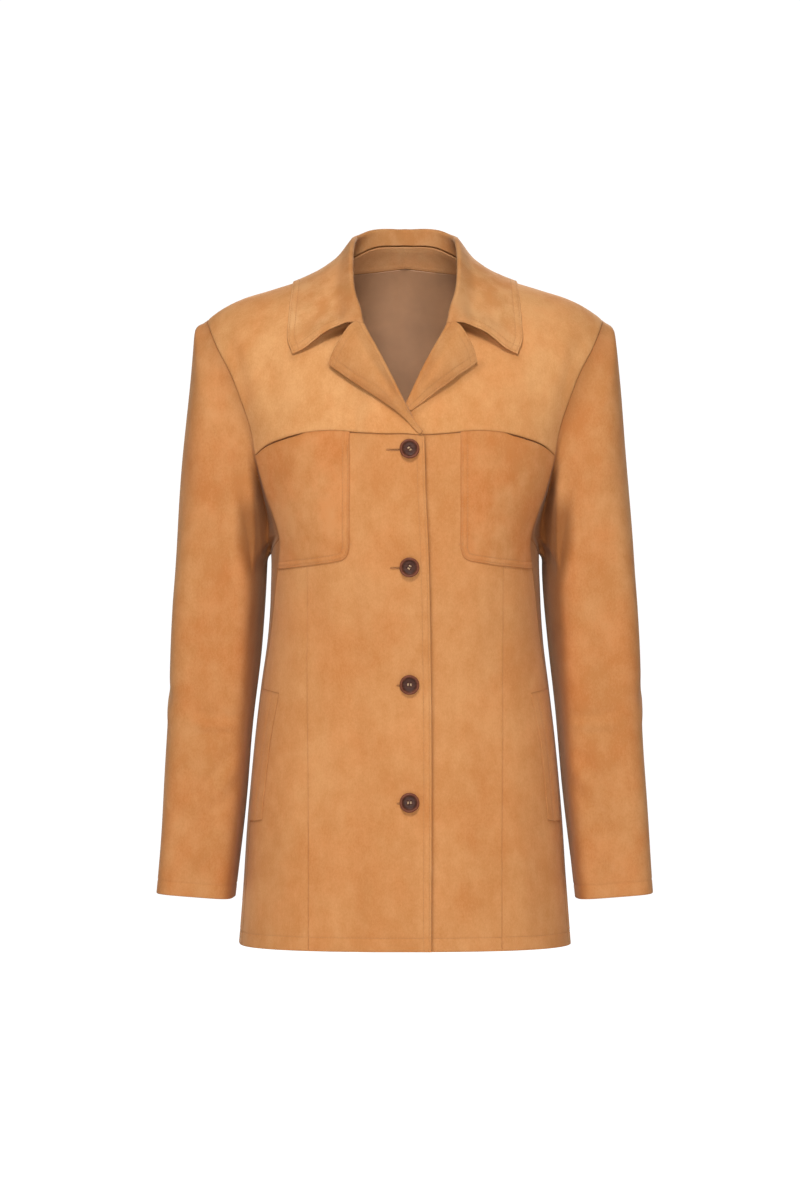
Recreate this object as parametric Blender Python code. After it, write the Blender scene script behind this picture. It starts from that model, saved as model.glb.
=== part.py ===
"""Flannel blazer: a single-breasted jacket of napped cloth, filled out as when it is worn.

The jacket is one body surface cut into panels along its seams, two sleeves set into its armholes, and
a collar, lapels, pockets and welts that lie on the panels. Every piece of cloth is a closed wall.

A spot on the body surface has two angles. "turn" goes round the body, from 0 at the centre front, to 90
at the side and 180 at the centre back. "rise" goes up it, from -90 at the hem, to 0 at the bust line and
90 on top of the shoulder, where front and back meet. The wearer's left is +X and the front faces -Y.
The origin is the centre of the neck base, at the height of the neck ends of the shoulder seams.
"""

import math

import bmesh
import bpy
import numpy as np
from mathutils import Matrix, Vector

# Driving sizes, in metres.
HEM = -0.705            # height of the hem
BUST = -0.282           # height of the bust line, where the armholes end
WALL = 0.0016           # outer cloth with its interlining
LINING_WALL = 0.001
SEAM_TRIM = 0.00018     # what each panel gives up at a seam, so that two are about 0.3 mm apart
SLEEVE_TRIM = 0.00040   # the same along a sleeve's own seams
LAY_WALL = 0.0012       # pockets and welts
LAY_GAP = 0.0006        # air under them
INSIDE_GAP = 0.0014     # air between the back and its lining
RIDGE_Y = 0.006         # how far back the top of the shoulder runs
SIDE_POWER = 2.5        # squareness of the body seen from above
SLEEVE_POWER = 2.8      # squareness of a sleeve seen from above
ARCH_POWER = 2.2        # squareness of the arch from chest over shoulder to back
BUTTON_X = 0.0044
BUTTON_HEIGHTS = (-0.1919, -0.3118, -0.4320, -0.5530)

RIGHT, LEFT = -1, 1
YOKE_ENDS = (-0.0195, 0.1010, 0.1540)   # where the front edge, princess seam and armhole meet the yoke
# The right front lies over the left one: how far it is raised, and where that fades out.
LAP_LOW, LAP_HIGH = 0.0026, 0.0048
LAP_OUT, LAP_RAMP = 0.055, 0.024
LAP_TOP, LAP_FADE = -0.105, 0.030
LAP_THICK_BELOW, LAP_THICK_FADE = -0.245, 0.055

# Finishes: base colour (linear), roughness.
FINISHES = {
    "cloth": ((0.56, 0.275, 0.105, 1.0), 0.85),
    "collar": ((0.54, 0.26, 0.10, 1.0), 0.85),
    "lining": ((0.26, 0.135, 0.075, 1.0), 0.6),
    "button": ((0.045, 0.018, 0.012, 1.0), 0.3),
}


def table(columns, *rows):
    """A short table as one array for each named column."""
    return dict(zip(columns.split(), np.array(rows, float).T))


# The body ring at each height. Above the bust line the half width is what the shoulder reaches for.
BODY = table(
    "level half_width front back",
    (-0.705, 0.1740, 0.127, 0.124),
    (-0.640, 0.1690, 0.124, 0.121),
    (-0.564, 0.1640, 0.119, 0.114),
    (-0.500, 0.1580, 0.115, 0.105),
    (-0.437, 0.1507, 0.114, 0.099),
    (-0.387, 0.1443, 0.118, 0.100),
    (-0.337, 0.1412, 0.125, 0.106),
    (-0.282, 0.1420, 0.130, 0.114),
    (-0.224, 0.1590, 0.130, 0.114),
    (-0.160, 0.1760, 0.130, 0.114),
    (-0.100, 0.2000, 0.130, 0.114),
    (-0.050, 0.2170, 0.130, 0.114),
    (0.000, 0.2215, 0.130, 0.114),
)
# Height of the top of the shoulder, from the centre of the neck outwards.
RIDGE = table(
    "x z",
    (0.000, 0.0500),
    (0.030, 0.0410),
    (0.050, 0.0240),
    (0.065, 0.0090),
    (0.080, 0.0005),
    (0.100, -0.0070),
    (0.117, -0.0126),
    (0.144, -0.0210),
    (0.171, -0.0295),
    (0.185, -0.0360),
    (0.197, -0.0435),
    (0.205, -0.0495),
    (0.212, -0.0570),
    (0.222, -0.0700),
)
# Seams on the front: distance out from the centre front, and height.
YOKE_SEAM = table(
    "x z",
    (-0.030, -0.1790),
    (-0.0195, -0.1783),
    (0.000, -0.1765),
    (0.026, -0.1765),
    (0.046, -0.1749),
    (0.073, -0.1726),
    (0.092, -0.1734),
    (0.108, -0.1757),
    (0.124, -0.1798),
    (0.144, -0.1877),
    (0.154, -0.1960),
)
PRINCESS_SEAM = table("rise x", (-90, 0.0993), (-68, 0.0994), (-35, 0.1007), (0, 0.1011), (24, 0.1010))
FRONT_EDGE = table("rise x", (-90, -0.0272), (-22, -0.0273), (6, -0.0258), (13, -0.0230), (18.4, -0.0195))
# Seams at the side: turn at each rise. The armholes are the rows from 0 up.
FRONT_SIDE_SEAM = table(
    "rise turn",
    (-90, 77.0),
    (-62, 77.0),
    (-35, 78.0),
    (-22, 74.5),
    (-13, 70.0),
    (-6, 65.5),
    (0, 61.8),
    (5, 63.2),
    (12, 65.2),
    (20, 66.3),
    (30, 66.2),
    (41, 66.9),
    (56, 69.7),
    (70, 72.5),
    (80, 73.6),
    (90, 72.9),
)
BACK_SIDE_SEAM = table(
    "rise turn",
    (-90, 118.0),
    (-45, 116.0),
    (0, 112.0),
    (12, 112.0),
    (30, 112.5),
    (50, 111.0),
    (70, 108.0),
    (90, 105.1),
)
ARMHOLE_BOTTOM = table("turn rise", (61.8, 0.0), (76.0, -2.6), (90.0, -3.5), (101.0, -2.6), (112.0, 0.0))
# Corners of the neck hole. Front: from the break, low on the front edge, over the gorge (row 5) to the
# shoulder seam. Back: from the shoulder seam to the centre. "arch" is degrees over the shoulder from the
# front bust line, so that it passes 90 on top.
NECK_FRONT = table(
    "x arch",
    (-0.0195, 18.4),
    (-0.0120, 19.6),
    (-0.0024, 22.4),
    (0.0145, 29.0),
    (0.0318, 37.0),
    (0.0449, 44.8),
    (0.0575, 56.0),
    (0.0617, 72.0),
    (0.0610, 90.0),
)
NECK_BACK = table("x arch", (0.0610, 90.0), (0.0575, 95.0), (0.0480, 100.5), (0.0260, 107.0), (0.0, 110.0))
GORGE = 5
# The neck facing's lower edge at the back, where the lining starts: height at each distance out.
FACING_EDGE = table("x z", (0.0, 0.0088), (0.026, 0.0056), (0.053, 0.0022), (0.070, -0.0005))
# The collar by stations along the neck corners, from the centre back (0) to the gorge (7): the middle of
# its fold and how far that stands over the body, and its outer edge.
COLLAR = table(
    "station fold_x fold_arch fold_up edge_x edge_arch",
    (0.0, 0.0000, 106.8, 0.0129, 0.0000, 127.6),
    (1.0, 0.0235, 104.0, 0.0133, 0.0440, 122.6),
    (2.0, 0.0385, 98.6, 0.0108, 0.0830, 110.2),
    (3.0, 0.0448, 93.6, 0.0098, 0.1060, 101.5),
    (4.0, 0.0474, 89.2, 0.0090, 0.1150, 95.0),
    (5.0, 0.0534, 72.0, 0.0048, 0.1178, 74.0),
    (6.0, 0.0523, 56.0, 0.0033, 0.1203, 56.0),
    (6.5, 0.0476, 49.6, 0.0020, 0.1207, 49.6),
    (7.0, 0.0443, 44.8, 0.0012, 0.1146, 44.0),
)
COLLAR_STATIONS = np.array([0, 0.5, 1, 1.5, 2, 3, 4, 4.5, 5, 5.5, 6, 6.5, 7])
# The collar's front end, from the fold to the tip.
COLLAR_END = table(
    "across x arch",
    (0.00, 0.0443, 44.9),
    (0.10, 0.0487, 46.05),
    (0.33, 0.0652, 48.6),
    (0.52, 0.0789, 47.8),
    (0.65, 0.0882, 46.0),
    (0.83, 0.1014, 44.7),
    (1.00, 0.1146, 44.0),
)
EDGE_UP = 0.0026        # how far the middle of the collar's outer edge stands over the body
# The lapel by stations along the neck corners, from the break (0) to the gorge (5): its outer edge and how
# far the middle of that stands over the body, and the radius of the fold to the middle of the cloth.
LAPEL = table(
    "station edge_x edge_arch edge_up fold",
    (0.4, -0.0147, 18.2, 0.0014, 0.0011),
    (1.0, -0.0085, 19.0, 0.0014, 0.0011),
    (1.5, 0.0004, 20.4, 0.0014, 0.0011),
    (2.0, 0.0100, 22.0, 0.0014, 0.0011),
    (2.5, 0.0252, 24.7, 0.0016, 0.0014),
    (3.0, 0.0400, 27.5, 0.0021, 0.0018),
    (3.5, 0.0540, 30.9, 0.0026, 0.0020),
    (4.0, 0.0650, 34.7, 0.0026, 0.0020),
    (4.5, 0.0735, 37.6, 0.0026, 0.0020),
    (5.0, 0.0776, 38.9, 0.0026, 0.0020),
)
UNDER_LAPEL_START = 2.0
FOLD_SHIFT = 0.0034     # from the neck hole's edge in to where the fold turns
# The lapel's top edge, from the fold past the notch to the corner.
LAPEL_TOP = table(
    "across x arch",
    (0.00, 0.0443, 44.7),
    (0.20, 0.0487, 45.75),
    (0.50, 0.0634, 43.4),
    (0.88, 0.0765, 40.2),
    (1.00, 0.0776, 38.9),
)
# Sleeve rings: height at the axis, distance of the axis out and forward, half width and half depth, and how
# much of the half width the inside gives up towards the front.
SLEEVE = table(
    "level out forward wide deep slant",
    (-0.653, 0.2183, 0.022, 0.0402, 0.048, 0.08),
    (-0.614, 0.2147, 0.018, 0.0410, 0.050, 0.10),
    (-0.539, 0.2082, 0.011, 0.0430, 0.054, 0.14),
    (-0.463, 0.2030, 0.005, 0.0442, 0.057, 0.19),
    (-0.387, 0.1972, 0.000, 0.0472, 0.060, 0.25),
    (-0.312, 0.1926, -0.002, 0.0479, 0.062, 0.28),
    (-0.236, 0.1902, -0.001, 0.0454, 0.063, 0.26),
    (-0.160, 0.1868, 0.000, 0.0422, 0.060, 0.20),
    (-0.100, 0.1850, 0.000, 0.0383, 0.050, 0.10),
    (-0.050, 0.1845, 0.000, 0.0345, 0.030, 0.00),
)
CUFF_TILT = 0.078       # rise of the cuff outwards, square to the sleeve's axis
ARMHOLE_CENTRE = (0.004, -0.168)    # y and z that a sleeve's columns are counted round
ARMHOLE_REACH = (0.062, 0.118)      # half depth and half height of the armhole
FRONT_SLEEVE_SEAM, BACK_SLEEVE_SEAM = 172.0, 250.0  # lower down, in degrees forward from the outer side
HEAD_ROWS = np.array([0, 0.22, 0.42, 0.61, 0.80, 1.0])
TUBE_ROWS = np.array([0.11, 0.24, 0.38, 0.53, 0.69, 0.85, 1.0])
# Chest pocket: its inner edge, and its lower edge from the corner outwards.
POCKET_INNER_X = 0.0567
POCKET_CORNER = (0.0600, -0.3020)
POCKET_FOOT = table("x z", (0.0600, -0.3020), (0.0770, -0.3072), (0.0922, -0.3096), (0.1300, -0.3130))
# The lower pocket welt: its inner edge.
WELT_EDGE = table("z x", (-0.5731, 0.1479), (-0.5368, 0.1440), (-0.4955, 0.1396), (-0.4416, 0.1299))
# Panel grids.
LOW_ROWS, CHEST_ROWS, YOKE_ROWS, BACK_ARM_ROWS = 8, 4, 8, 8
CENTRE_COLS, SIDE_COLS, UNDERARM_COLS, SHOULDER_COLS = 5, 4, 4, 5
FRONT_SEAM_PAST, UNDER_COLS = 2, 5      # columns past the front of the armhole bottom; of the under sleeve
HEAD_PULL = 1.1         # how far the sleeve head bulges between armhole and sleeve
FALL_POWER = 1.4        # how soon the collar drops from its fold to its edge
WELT_GAP = 0.0008
FACING_FROM_COL = 5     # column of the back where the facing starts
LINING_HEM, LINING_INSET = 0.47, 0.12   # how far the lining stays inside the back, in rows and columns
BUTTON_UP = 0.0006
BUTTON_PROFILE = table(
    "radius height",
    (0.0, 0.0),
    (0.0086, 0.0),
    (0.0098, 0.0008),
    (0.01015, 0.0018),
    (0.0098, 0.0028),
    (0.0089, 0.0034),
    (0.0079, 0.0031),
    (0.0069, 0.0023),
    (0.0, 0.0019),
)
BUTTON_HOLE_RADIUS, BUTTON_HOLE_OUT, BUTTON_SIDES = 0.0009, 0.0020, 28


def smooth(at, knots, values):
    """Cubic through the knots, each slope the mean of the slopes on either side, held past the ends."""
    gap = np.diff(knots)
    slope = np.diff(values) / gap
    inner = (slope[:-1] * gap[1:] + slope[1:] * gap[:-1]) / (gap[:-1] + gap[1:])
    tangent = np.concatenate([slope[:1], inner, slope[-1:]])
    at = np.clip(at, knots[0], knots[-1])
    i = np.clip(np.searchsorted(knots, at) - 1, 0, len(knots) - 2)
    t = (at - knots[i]) / gap[i]
    ends = values[i] * (1 + 2 * t) * (1 - t) ** 2 + values[i + 1] * t * t * (3 - 2 * t)
    return ends + gap[i] * t * (1 - t) * (tangent[i] * (1 - t) - tangent[i + 1] * t)


def read(rows, column, at):
    """A column of a table, read smoothly along its first column."""
    return smooth(np.asarray(at, float), next(iter(rows.values())), rows[column])


def ease(t):
    t = np.clip(t, 0, 1)
    return t * t * (3 - 2 * t)


def unit(v):
    return v / np.maximum(np.linalg.norm(v, axis=-1, keepdims=True), 1e-12)


def level_of(rise):
    """Height that a rise stands for: even below the bust line, the sine of an arch above it."""
    arch = np.sin(np.radians(np.clip(rise, 0, 90)))
    return np.where(rise > 0, BUST * (1 - arch), BUST + (BUST - HEM) * rise / 90)


def ring(level):
    """Half width, front depth and back depth of the body at a height."""
    low = np.minimum(level, BUST)
    return read(BODY, "half_width", level), read(BODY, "front", low), read(BODY, "back", low)


def body(turn, rise):
    """Points of the body: superellipse rings below the bust line, superellipse arches over the shoulder."""
    turn, rise = np.broadcast_arrays(np.asarray(turn, float), np.asarray(rise, float))
    wide, front, back = ring(level_of(rise))
    out, ahead = np.sin(np.radians(turn)), np.cos(np.radians(turn))
    deep = np.where(ahead >= 0, front, back)
    radius = (np.abs(out / wide) ** SIDE_POWER + np.abs(ahead / deep) ** SIDE_POWER) ** (-1 / SIDE_POWER)
    x = radius * out
    up = np.sin(np.radians(np.clip(rise, 0, 90)))
    inward = (1 - up**ARCH_POWER) ** (1 / ARCH_POWER)
    y = RIDGE_Y - (radius * ahead + RIDGE_Y) * inward
    over_bust = BUST + (read(RIDGE, "z", np.abs(x)) - BUST) * up
    return np.stack([x, y, np.where(rise > 0, over_bust, level_of(rise))], axis=-1)


def normal(turn, rise, step=0.02):
    """Outward unit normals of the body, from points a step away on each side."""
    rise = np.minimum(rise, 90 - 2 * step)
    around = body(turn + step, rise) - body(turn - step, rise)
    upward = body(turn, rise + step) - body(turn, rise - step)
    return unit(np.cross(around, upward))


def spot(x, arch):
    """(turn, rise) of the place x out from the centre and arch degrees over the shoulder."""
    x, arch = np.broadcast_arrays(np.asarray(x, float), np.asarray(arch, float))
    rise = np.minimum(arch, 180 - arch)
    wide, front, back = ring(level_of(rise))
    deep = np.where(arch > 90, -back, front)
    share = np.clip(np.abs(x) / wide, 0, 1)
    turn = np.degrees(np.arctan2(x, deep * (1 - share**SIDE_POWER) ** (1 / SIDE_POWER)))
    return np.stack([turn, rise], axis=-1)


def front_spot(x, z):
    """(turn, rise) of the place on the front with this x and z."""
    up = np.clip((z - BUST) / (read(RIDGE, "z", np.abs(x)) - BUST), 0, 1)
    return spot(x, np.where(z > BUST, np.degrees(np.arcsin(up)), 90 * (z - BUST) / (BUST - HEM)))


def lay(side, spots, up=0.0):
    """Points over spots given for one half, with turn counted from the centre front towards the side."""
    turn, rise = side * spots[..., 0], spots[..., 1]
    up = np.broadcast_to(up, turn.shape)[..., None]
    return body(turn, rise) + normal(turn, rise) * up


def lap(side, spots):
    """How far the right front is raised: over the left front, and more where the left lapel is tucked in."""
    points = lay(side, spots)
    if side == LEFT:
        return np.zeros(points.shape[:-1])
    x, z = side * points[..., 0], points[..., 2]
    high = LAP_LOW + (LAP_HIGH - LAP_LOW) * ease((z - LAP_THICK_BELOW) / LAP_THICK_FADE)
    return high * ease((LAP_OUT - x) / LAP_RAMP) * ease((LAP_TOP - z) / LAP_FADE)


def sided(name, side):
    return name + ("_right" if side == RIGHT else "_left")


def stretch(first, last, steps):
    return np.linspace(first, last, steps + 1)


def joined(*runs):
    """Runs of values end to end, each shared end taken once."""
    return np.concatenate([runs[0]] + [run[1:] for run in runs[1:]])


def between(points, at):
    """Points at fractional places along a run of points."""
    low = np.clip(np.floor(at).astype(int), 0, len(points) - 2)
    share = (at - low)[:, None]
    return points[low] * (1 - share) + points[low + 1] * share


def shares(a, b):
    """Where the points of two facing edges stand along them, from 0 to 1, on average."""
    steps = (np.linalg.norm(np.diff(a, axis=0), axis=1) + np.linalg.norm(np.diff(b, axis=0), axis=1)) / 2
    return np.concatenate([[0], np.cumsum(steps)]) / steps.sum()


def coons(left, right, bottom, top):
    """Grid between four edges: left and right run upwards, bottom and top from left to right."""
    u, v = shares(bottom, top)[:, None, None], shares(left, right)[None, :, None]
    sides = (1 - u) * left[None] + u * right[None]
    ends = (1 - v) * bottom[:, None] + v * top[:, None]
    low = (1 - u) * bottom[0] + u * bottom[-1]
    high = (1 - u) * top[0] + u * top[-1]
    return sides + ends - (1 - v) * low - v * high


def tangents(grid, axis, cyclic=False):
    """Unit directions along a grid's lines, each the mean of those before and after its point."""
    lines = np.moveaxis(grid, axis, 0)
    steps = unit(np.diff(np.concatenate([lines, lines[:1]]) if cyclic else lines, axis=0))
    before = np.concatenate([steps[-1:] if cyclic else steps[:1], steps[:-1] if cyclic else steps])
    after = steps if cyclic else np.concatenate([steps, steps[-1:]])
    return np.moveaxis(unit(before + after), 0, axis)


def grid_normals(grid, cyclic=False):
    return unit(np.cross(tangents(grid, 0, cyclic), tangents(grid, 1)))


def seam_shift(grid, axes=(0, 1), by=SEAM_TRIM):
    """Shift that draws the edges of a grid in, square to each edge."""
    shift = np.zeros_like(grid)
    for axis in axes:
        lines, moved = np.moveaxis(grid, axis, 0), np.moveaxis(shift, axis, 0)
        for edge, inside in ((0, 1), (-1, -2)):
            run = tangents(lines[edge], 0)
            inward = lines[inside] - lines[edge]
            moved[edge] += by * unit(inward - run * (inward * run).sum(axis=-1, keepdims=True))
    return shift


def finish(name):
    """The material of this finish, made once."""
    if name in bpy.data.materials:
        return bpy.data.materials[name]
    material = bpy.data.materials.new(name)
    material.use_nodes = True
    shader = material.node_tree.nodes["Principled BSDF"]
    colour, roughness = FINISHES[name]
    shader.inputs["Base Color"].default_value = colour
    shader.inputs["Roughness"].default_value = roughness
    material.diffuse_color = colour
    return material


def add_object(name, mesh, look):
    mesh.materials.clear()
    mesh.materials.append(finish(look))
    mesh.shade_smooth()
    mesh.set_sharp_from_angle(angle=math.radians(40))
    made = bpy.data.objects.new(name, mesh)
    bpy.context.scene.collection.objects.link(made)
    return made


def wall(name, outer, inner, look="cloth", flip=False, trim=(0, 1), by=SEAM_TRIM):
    """A closed wall between two grids of points, its edges drawn in for the seams."""
    shift = seam_shift(outer, trim, by)
    outer, inner = outer + shift, inner + shift
    if flip:
        outer, inner = outer[::-1], inner[::-1]
    rows, cols = outer.shape[:2]
    index = np.arange(rows * cols).reshape(rows, cols)
    a, b, c, d = index[:-1, :-1], index[1:, :-1], index[1:, 1:], index[:-1, 1:]
    halves = ((a, b, d), (b, c, d)) if flip else ((a, b, c), (a, c, d))
    faces = np.concatenate([np.stack(half, axis=-1).reshape(-1, 3) for half in halves])
    rim = np.concatenate([index[:, 0], index[-1, 1:], index[-2::-1, -1], index[0, -2::-1]])
    under = rows * cols
    a, b, c, d = rim[1:], rim[:-1], rim[:-1] + under, rim[1:] + under
    halves = ((a, b, d), (b, c, d)) if flip else ((a, b, c), (a, c, d))
    sides = np.concatenate([np.stack(half, axis=-1) for half in halves])
    mesh = bpy.data.meshes.new(name)
    points = np.concatenate([outer.reshape(-1, 3), inner.reshape(-1, 3)])
    mesh.from_pydata(points.tolist(), [], np.concatenate([faces, faces[:, ::-1] + under, sides]).tolist())
    return add_object(name, mesh, look)


def panel(name, side, spots, up=0.0, thick=WALL, look="cloth"):
    """A wall of cloth over a grid of spots, its outer face moved out by `up`."""
    return wall(name, lay(side, spots, up), lay(side, spots, up - thick), look, flip=side == RIGHT)


def folded(name, middle, side=LEFT, look="cloth"):
    """A wall of cloth on both sides of a grid of points through its middle."""
    out = side * grid_normals(middle) * WALL / 2
    return wall(name, middle + out, middle - out, look, flip=side == RIGHT)


def seam_spots(rows, rises):
    """Spots along a seam whose turn is tabled by rise."""
    return np.stack([read(rows, "turn", rises), rises], axis=-1)


def yoke_seam(x):
    return front_spot(x, read(YOKE_SEAM, "z", x))


def front_rises(x):
    """Rises of the rows of a front panel from the hem to the yoke seam, with one on the bust line."""
    return joined(stretch(-90, 0, LOW_ROWS), stretch(0, yoke_seam(np.array(x))[1], CHEST_ROWS))


def arm_rises():
    """Rises up the front armhole, beside the front side panel and beside the yoke."""
    seam = yoke_seam(np.array(YOKE_ENDS[2]))[1]
    return stretch(0, seam, CHEST_ROWS), stretch(seam, 90, YOKE_ROWS)


def princess_spots():
    rises = front_rises(YOKE_ENDS[1])
    return spot(read(PRINCESS_SEAM, "x", rises), rises)


def front_centre_grid():
    """From the front edge to the princess seam, under the yoke."""
    rises = front_rises(YOKE_ENDS[0])
    edge, princess = spot(read(FRONT_EDGE, "x", rises), rises), princess_spots()
    hem_x = stretch(read(FRONT_EDGE, "x", -90), read(PRINCESS_SEAM, "x", -90), CENTRE_COLS)
    top = yoke_seam(stretch(YOKE_ENDS[0], YOKE_ENDS[1], CENTRE_COLS))
    return coons(edge, princess, spot(hem_x, -90), top)


def level_spots(first_turn, last_turn, rise, steps):
    return np.stack([stretch(first_turn, last_turn, steps), np.full(steps + 1, float(rise))], axis=-1)


def front_side_grid():
    """From the princess seam to the side seam and the lower armhole, under the yoke."""
    princess = princess_spots()
    outer = seam_spots(FRONT_SIDE_SEAM, joined(stretch(-90, 0, LOW_ROWS), arm_rises()[0]))
    top = yoke_seam(stretch(YOKE_ENDS[1], YOKE_ENDS[2], SIDE_COLS))
    top[-1] = outer[-1]
    return coons(princess, outer, level_spots(princess[0, 0], outer[0, 0], -90, SIDE_COLS), top)


def yoke_grid():
    """Up from the yoke seam and in along the shoulder seam to the neck hole."""
    neck = spot(NECK_FRONT["x"], NECK_FRONT["arch"])
    arm = seam_spots(FRONT_SIDE_SEAM, arm_rises()[1])
    inner, outer = stretch(*YOKE_ENDS[:2], CENTRE_COLS), stretch(*YOKE_ENDS[1:], SIDE_COLS)
    cols = joined(inner, outer)
    low = yoke_seam(cols)
    neck[0], low[-1] = low[0], arm[0]
    neck_x, arm_x = NECK_FRONT["x"][-1], body(*arm[-1])[0]
    shoulder = spot(neck_x + (arm_x - neck_x) * (cols - cols[0]) / (cols[-1] - cols[0]), 90)
    return coons(neck, arm, low, shoulder)


def armhole_bottom():
    turns = stretch(ARMHOLE_BOTTOM["turn"][0], ARMHOLE_BOTTOM["turn"][-1], UNDERARM_COLS)
    return np.stack([turns, read(ARMHOLE_BOTTOM, "rise", turns)], axis=-1)


def side_grid():
    """Under the arm, between the side seam and the back seam."""
    rises = stretch(-90, 0, LOW_ROWS)
    front, back = seam_spots(FRONT_SIDE_SEAM, rises), seam_spots(BACK_SIDE_SEAM, rises)
    return coons(front, back, level_spots(front[0, 0], back[0, 0], -90, UNDERARM_COLS), armhole_bottom())


def mirrored_spots(half):
    """Spots from the left to the centre back, and on to the right."""
    other = half[::-1].copy()
    other[:, 0] = 360 - other[:, 0]
    return joined(half, other)


def behind(x, arch):
    """Spots behind the shoulder, also on its very top."""
    return spot(x, np.maximum(arch, 90 + 1e-6))


def back_grid():
    """Between the back seams, up to the shoulder seams and the neck hole."""
    left = seam_spots(BACK_SIDE_SEAM, joined(stretch(-90, 0, LOW_ROWS), stretch(0, 90, BACK_ARM_ROWS)))
    right = left * [-1, 1] + [360, 0]
    shoulder_x = stretch(body(*left[-1])[0], NECK_BACK["x"][0], SHOULDER_COLS)
    top = joined(behind(shoulder_x, 90), behind(NECK_BACK["x"], NECK_BACK["arch"]))
    top[0] = left[-1]
    hem = level_spots(left[0, 0], right[0, 0], -90, 2 * (len(top) - 1))
    return coons(left, right, hem, mirrored_spots(top))


def lapel(side):
    """From the neck hole's edge in, round the fold and out over the yoke."""
    stations = LAPEL["station"][LAPEL["station"] >= (0 if side == RIGHT else UNDER_LAPEL_START)]
    rows = {name: read(LAPEL, name, stations) for name in LAPEL}
    hole = yoke_grid()[0, : GORGE + 2]
    raised = lap(side, hole)
    seam = lay(side, hole, raised - WALL / 2)
    rim = between(seam, stations)
    out = unit(between(normal(side * hole[:, 0], hole[:, 1]), stations))
    run = tangents(rim, 0)
    run[-1] = tangents(seam, 0)[GORGE]
    away = side * unit(np.cross(run, out))
    radius = rows["fold"][:, None]
    centre = rim - away * (FOLD_SHIFT - WALL / 2 - radius) + out * radius
    angles = np.radians([0, 60, 120])
    arc = [centre - radius * (out * math.cos(angle) + away * math.sin(angle)) for angle in angles]
    feet = centre - out * (between(raised[:, None], stations) + radius - WALL / 2)
    inner = front_spot(side * feet[:, 0], feet[:, 2])
    edge = spot(rows["edge_x"], rows["edge_arch"])
    across = stretch(0, 1, 4)
    top = spot(read(LAPEL_TOP, "x", across), read(LAPEL_TOP, "arch", across))
    top[0], top[-1] = inner[-1], edge[-1]
    start = inner[0] + (edge[0] - inner[0]) * across[:, None]
    flat = coons(inner, edge, start, top)
    fold_up = 2 * rows["fold"] - WALL / 2
    up = fold_up + (rows["edge_up"] - fold_up) * ease(across)[:, None]
    lying = lay(side, flat, up + lap(side, flat))
    folded(sided("lapel", side), np.concatenate([[rim], arc, lying]), side)


def collar():
    """From the neck seam up the stand, round the fold and down to the outer edge, in one piece."""
    front, back = yoke_grid()[0, GORGE - 1 :][::-1], behind(NECK_BACK["x"], NECK_BACK["arch"])[::-1]
    hole = joined(back, front)
    rows = {name: read(COLLAR, name, COLLAR_STATIONS) for name in COLLAR}
    seam = lay(LEFT, hole, -WALL / 2)
    rim = between(seam, COLLAR_STATIONS)
    out = unit(between(normal(hole[:, 0], hole[:, 1]), COLLAR_STATIONS))
    clear = (WALL / 2 + 2 * SEAM_TRIM) * ease((rows["fold_up"] - 0.0012) / 0.002)
    gorge_run = tangents(seam, 0)[-2]
    rim = rim + unit(np.cross(tangents(rim, 0), out)) * clear[:, None]
    foot = spot(rows["fold_x"], rows["fold_arch"])
    up = normal(foot[:, 0], foot[:, 1])
    centre = body(foot[:, 0], foot[:, 1]) + up * rows["fold_up"][:, None]
    run = tangents(centre, 0)
    run[0], run[-1] = (0, -1e-6, 0), gorge_run
    inward = unit(np.cross(run, up))
    radius = LAPEL["fold"][-1]
    drop = rim - centre
    aside, above = (drop * inward).sum(axis=1), (drop * up).sum(axis=1)
    start = np.arctan2(aside, -above) + np.arccos(np.clip(radius / np.hypot(aside, above), 0, 1))
    turns = start + (math.pi - start) * stretch(0, 1, 4)[:, None]
    arc = centre + radius * (inward * np.sin(turns)[..., None] - up * np.cos(turns)[..., None])
    across = stretch(0, 1, 5)
    scale = np.array([1, 0.0035])
    inner = np.stack([rows["fold_x"], rows["fold_arch"]], axis=-1)
    edge = np.stack([rows["edge_x"], rows["edge_arch"]], axis=-1)
    end = np.stack([read(COLLAR_END, "x", across), read(COLLAR_END, "arch", across)], axis=-1)
    end[0], end[-1] = inner[-1], edge[-1]
    middle_back = inner[0] + (edge[0] - inner[0]) * across[:, None]
    flat = coons(inner * scale, edge * scale, middle_back * scale, end * scale) / scale
    spots = spot(flat[..., 0], flat[..., 1])
    fold_up = rows["fold_up"] + radius
    raised = EDGE_UP + (fold_up - EDGE_UP) * (1 - across[:, None]) ** FALL_POWER
    fall = lay(LEFT, spots, raised)
    half = np.concatenate([[rim], arc, fall[1:]]).swapaxes(0, 1)
    folded("collar", joined(half[::-1] * [-1, 1, 1], half), look="collar")


def front_points(side):
    """Outer points of both lower front panels as one grid, and their normals."""
    spots = joined(front_centre_grid(), front_side_grid())
    points = lay(side, spots, lap(side, spots))
    return points, side * grid_normals(points)


def on_grid(values, cols, rows):
    """Values at fractional columns and rows of a grid, on the two triangles that each cell is cut into."""
    i = np.clip(np.floor(cols).astype(int), 0, values.shape[0] - 2)
    j = np.clip(np.floor(rows).astype(int), 0, values.shape[1] - 2)
    u, v = (cols - i)[..., None], (rows - j)[..., None]
    near, far = values[i, j], values[i + 1, j + 1]
    under = near + u * (values[i + 1, j] - near) + v * (far - values[i + 1, j])
    over = near + v * (values[i, j + 1] - near) + u * (far - values[i, j + 1])
    return np.where(u >= v, under, over)


def column_at(points, x, row):
    """Fractional column where a row of the grid reaches x."""
    i = np.arange(points.shape[0])
    return np.interp(x, on_grid(points, i.astype(float), np.full(len(i), float(row)))[:, 0], i)


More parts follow.
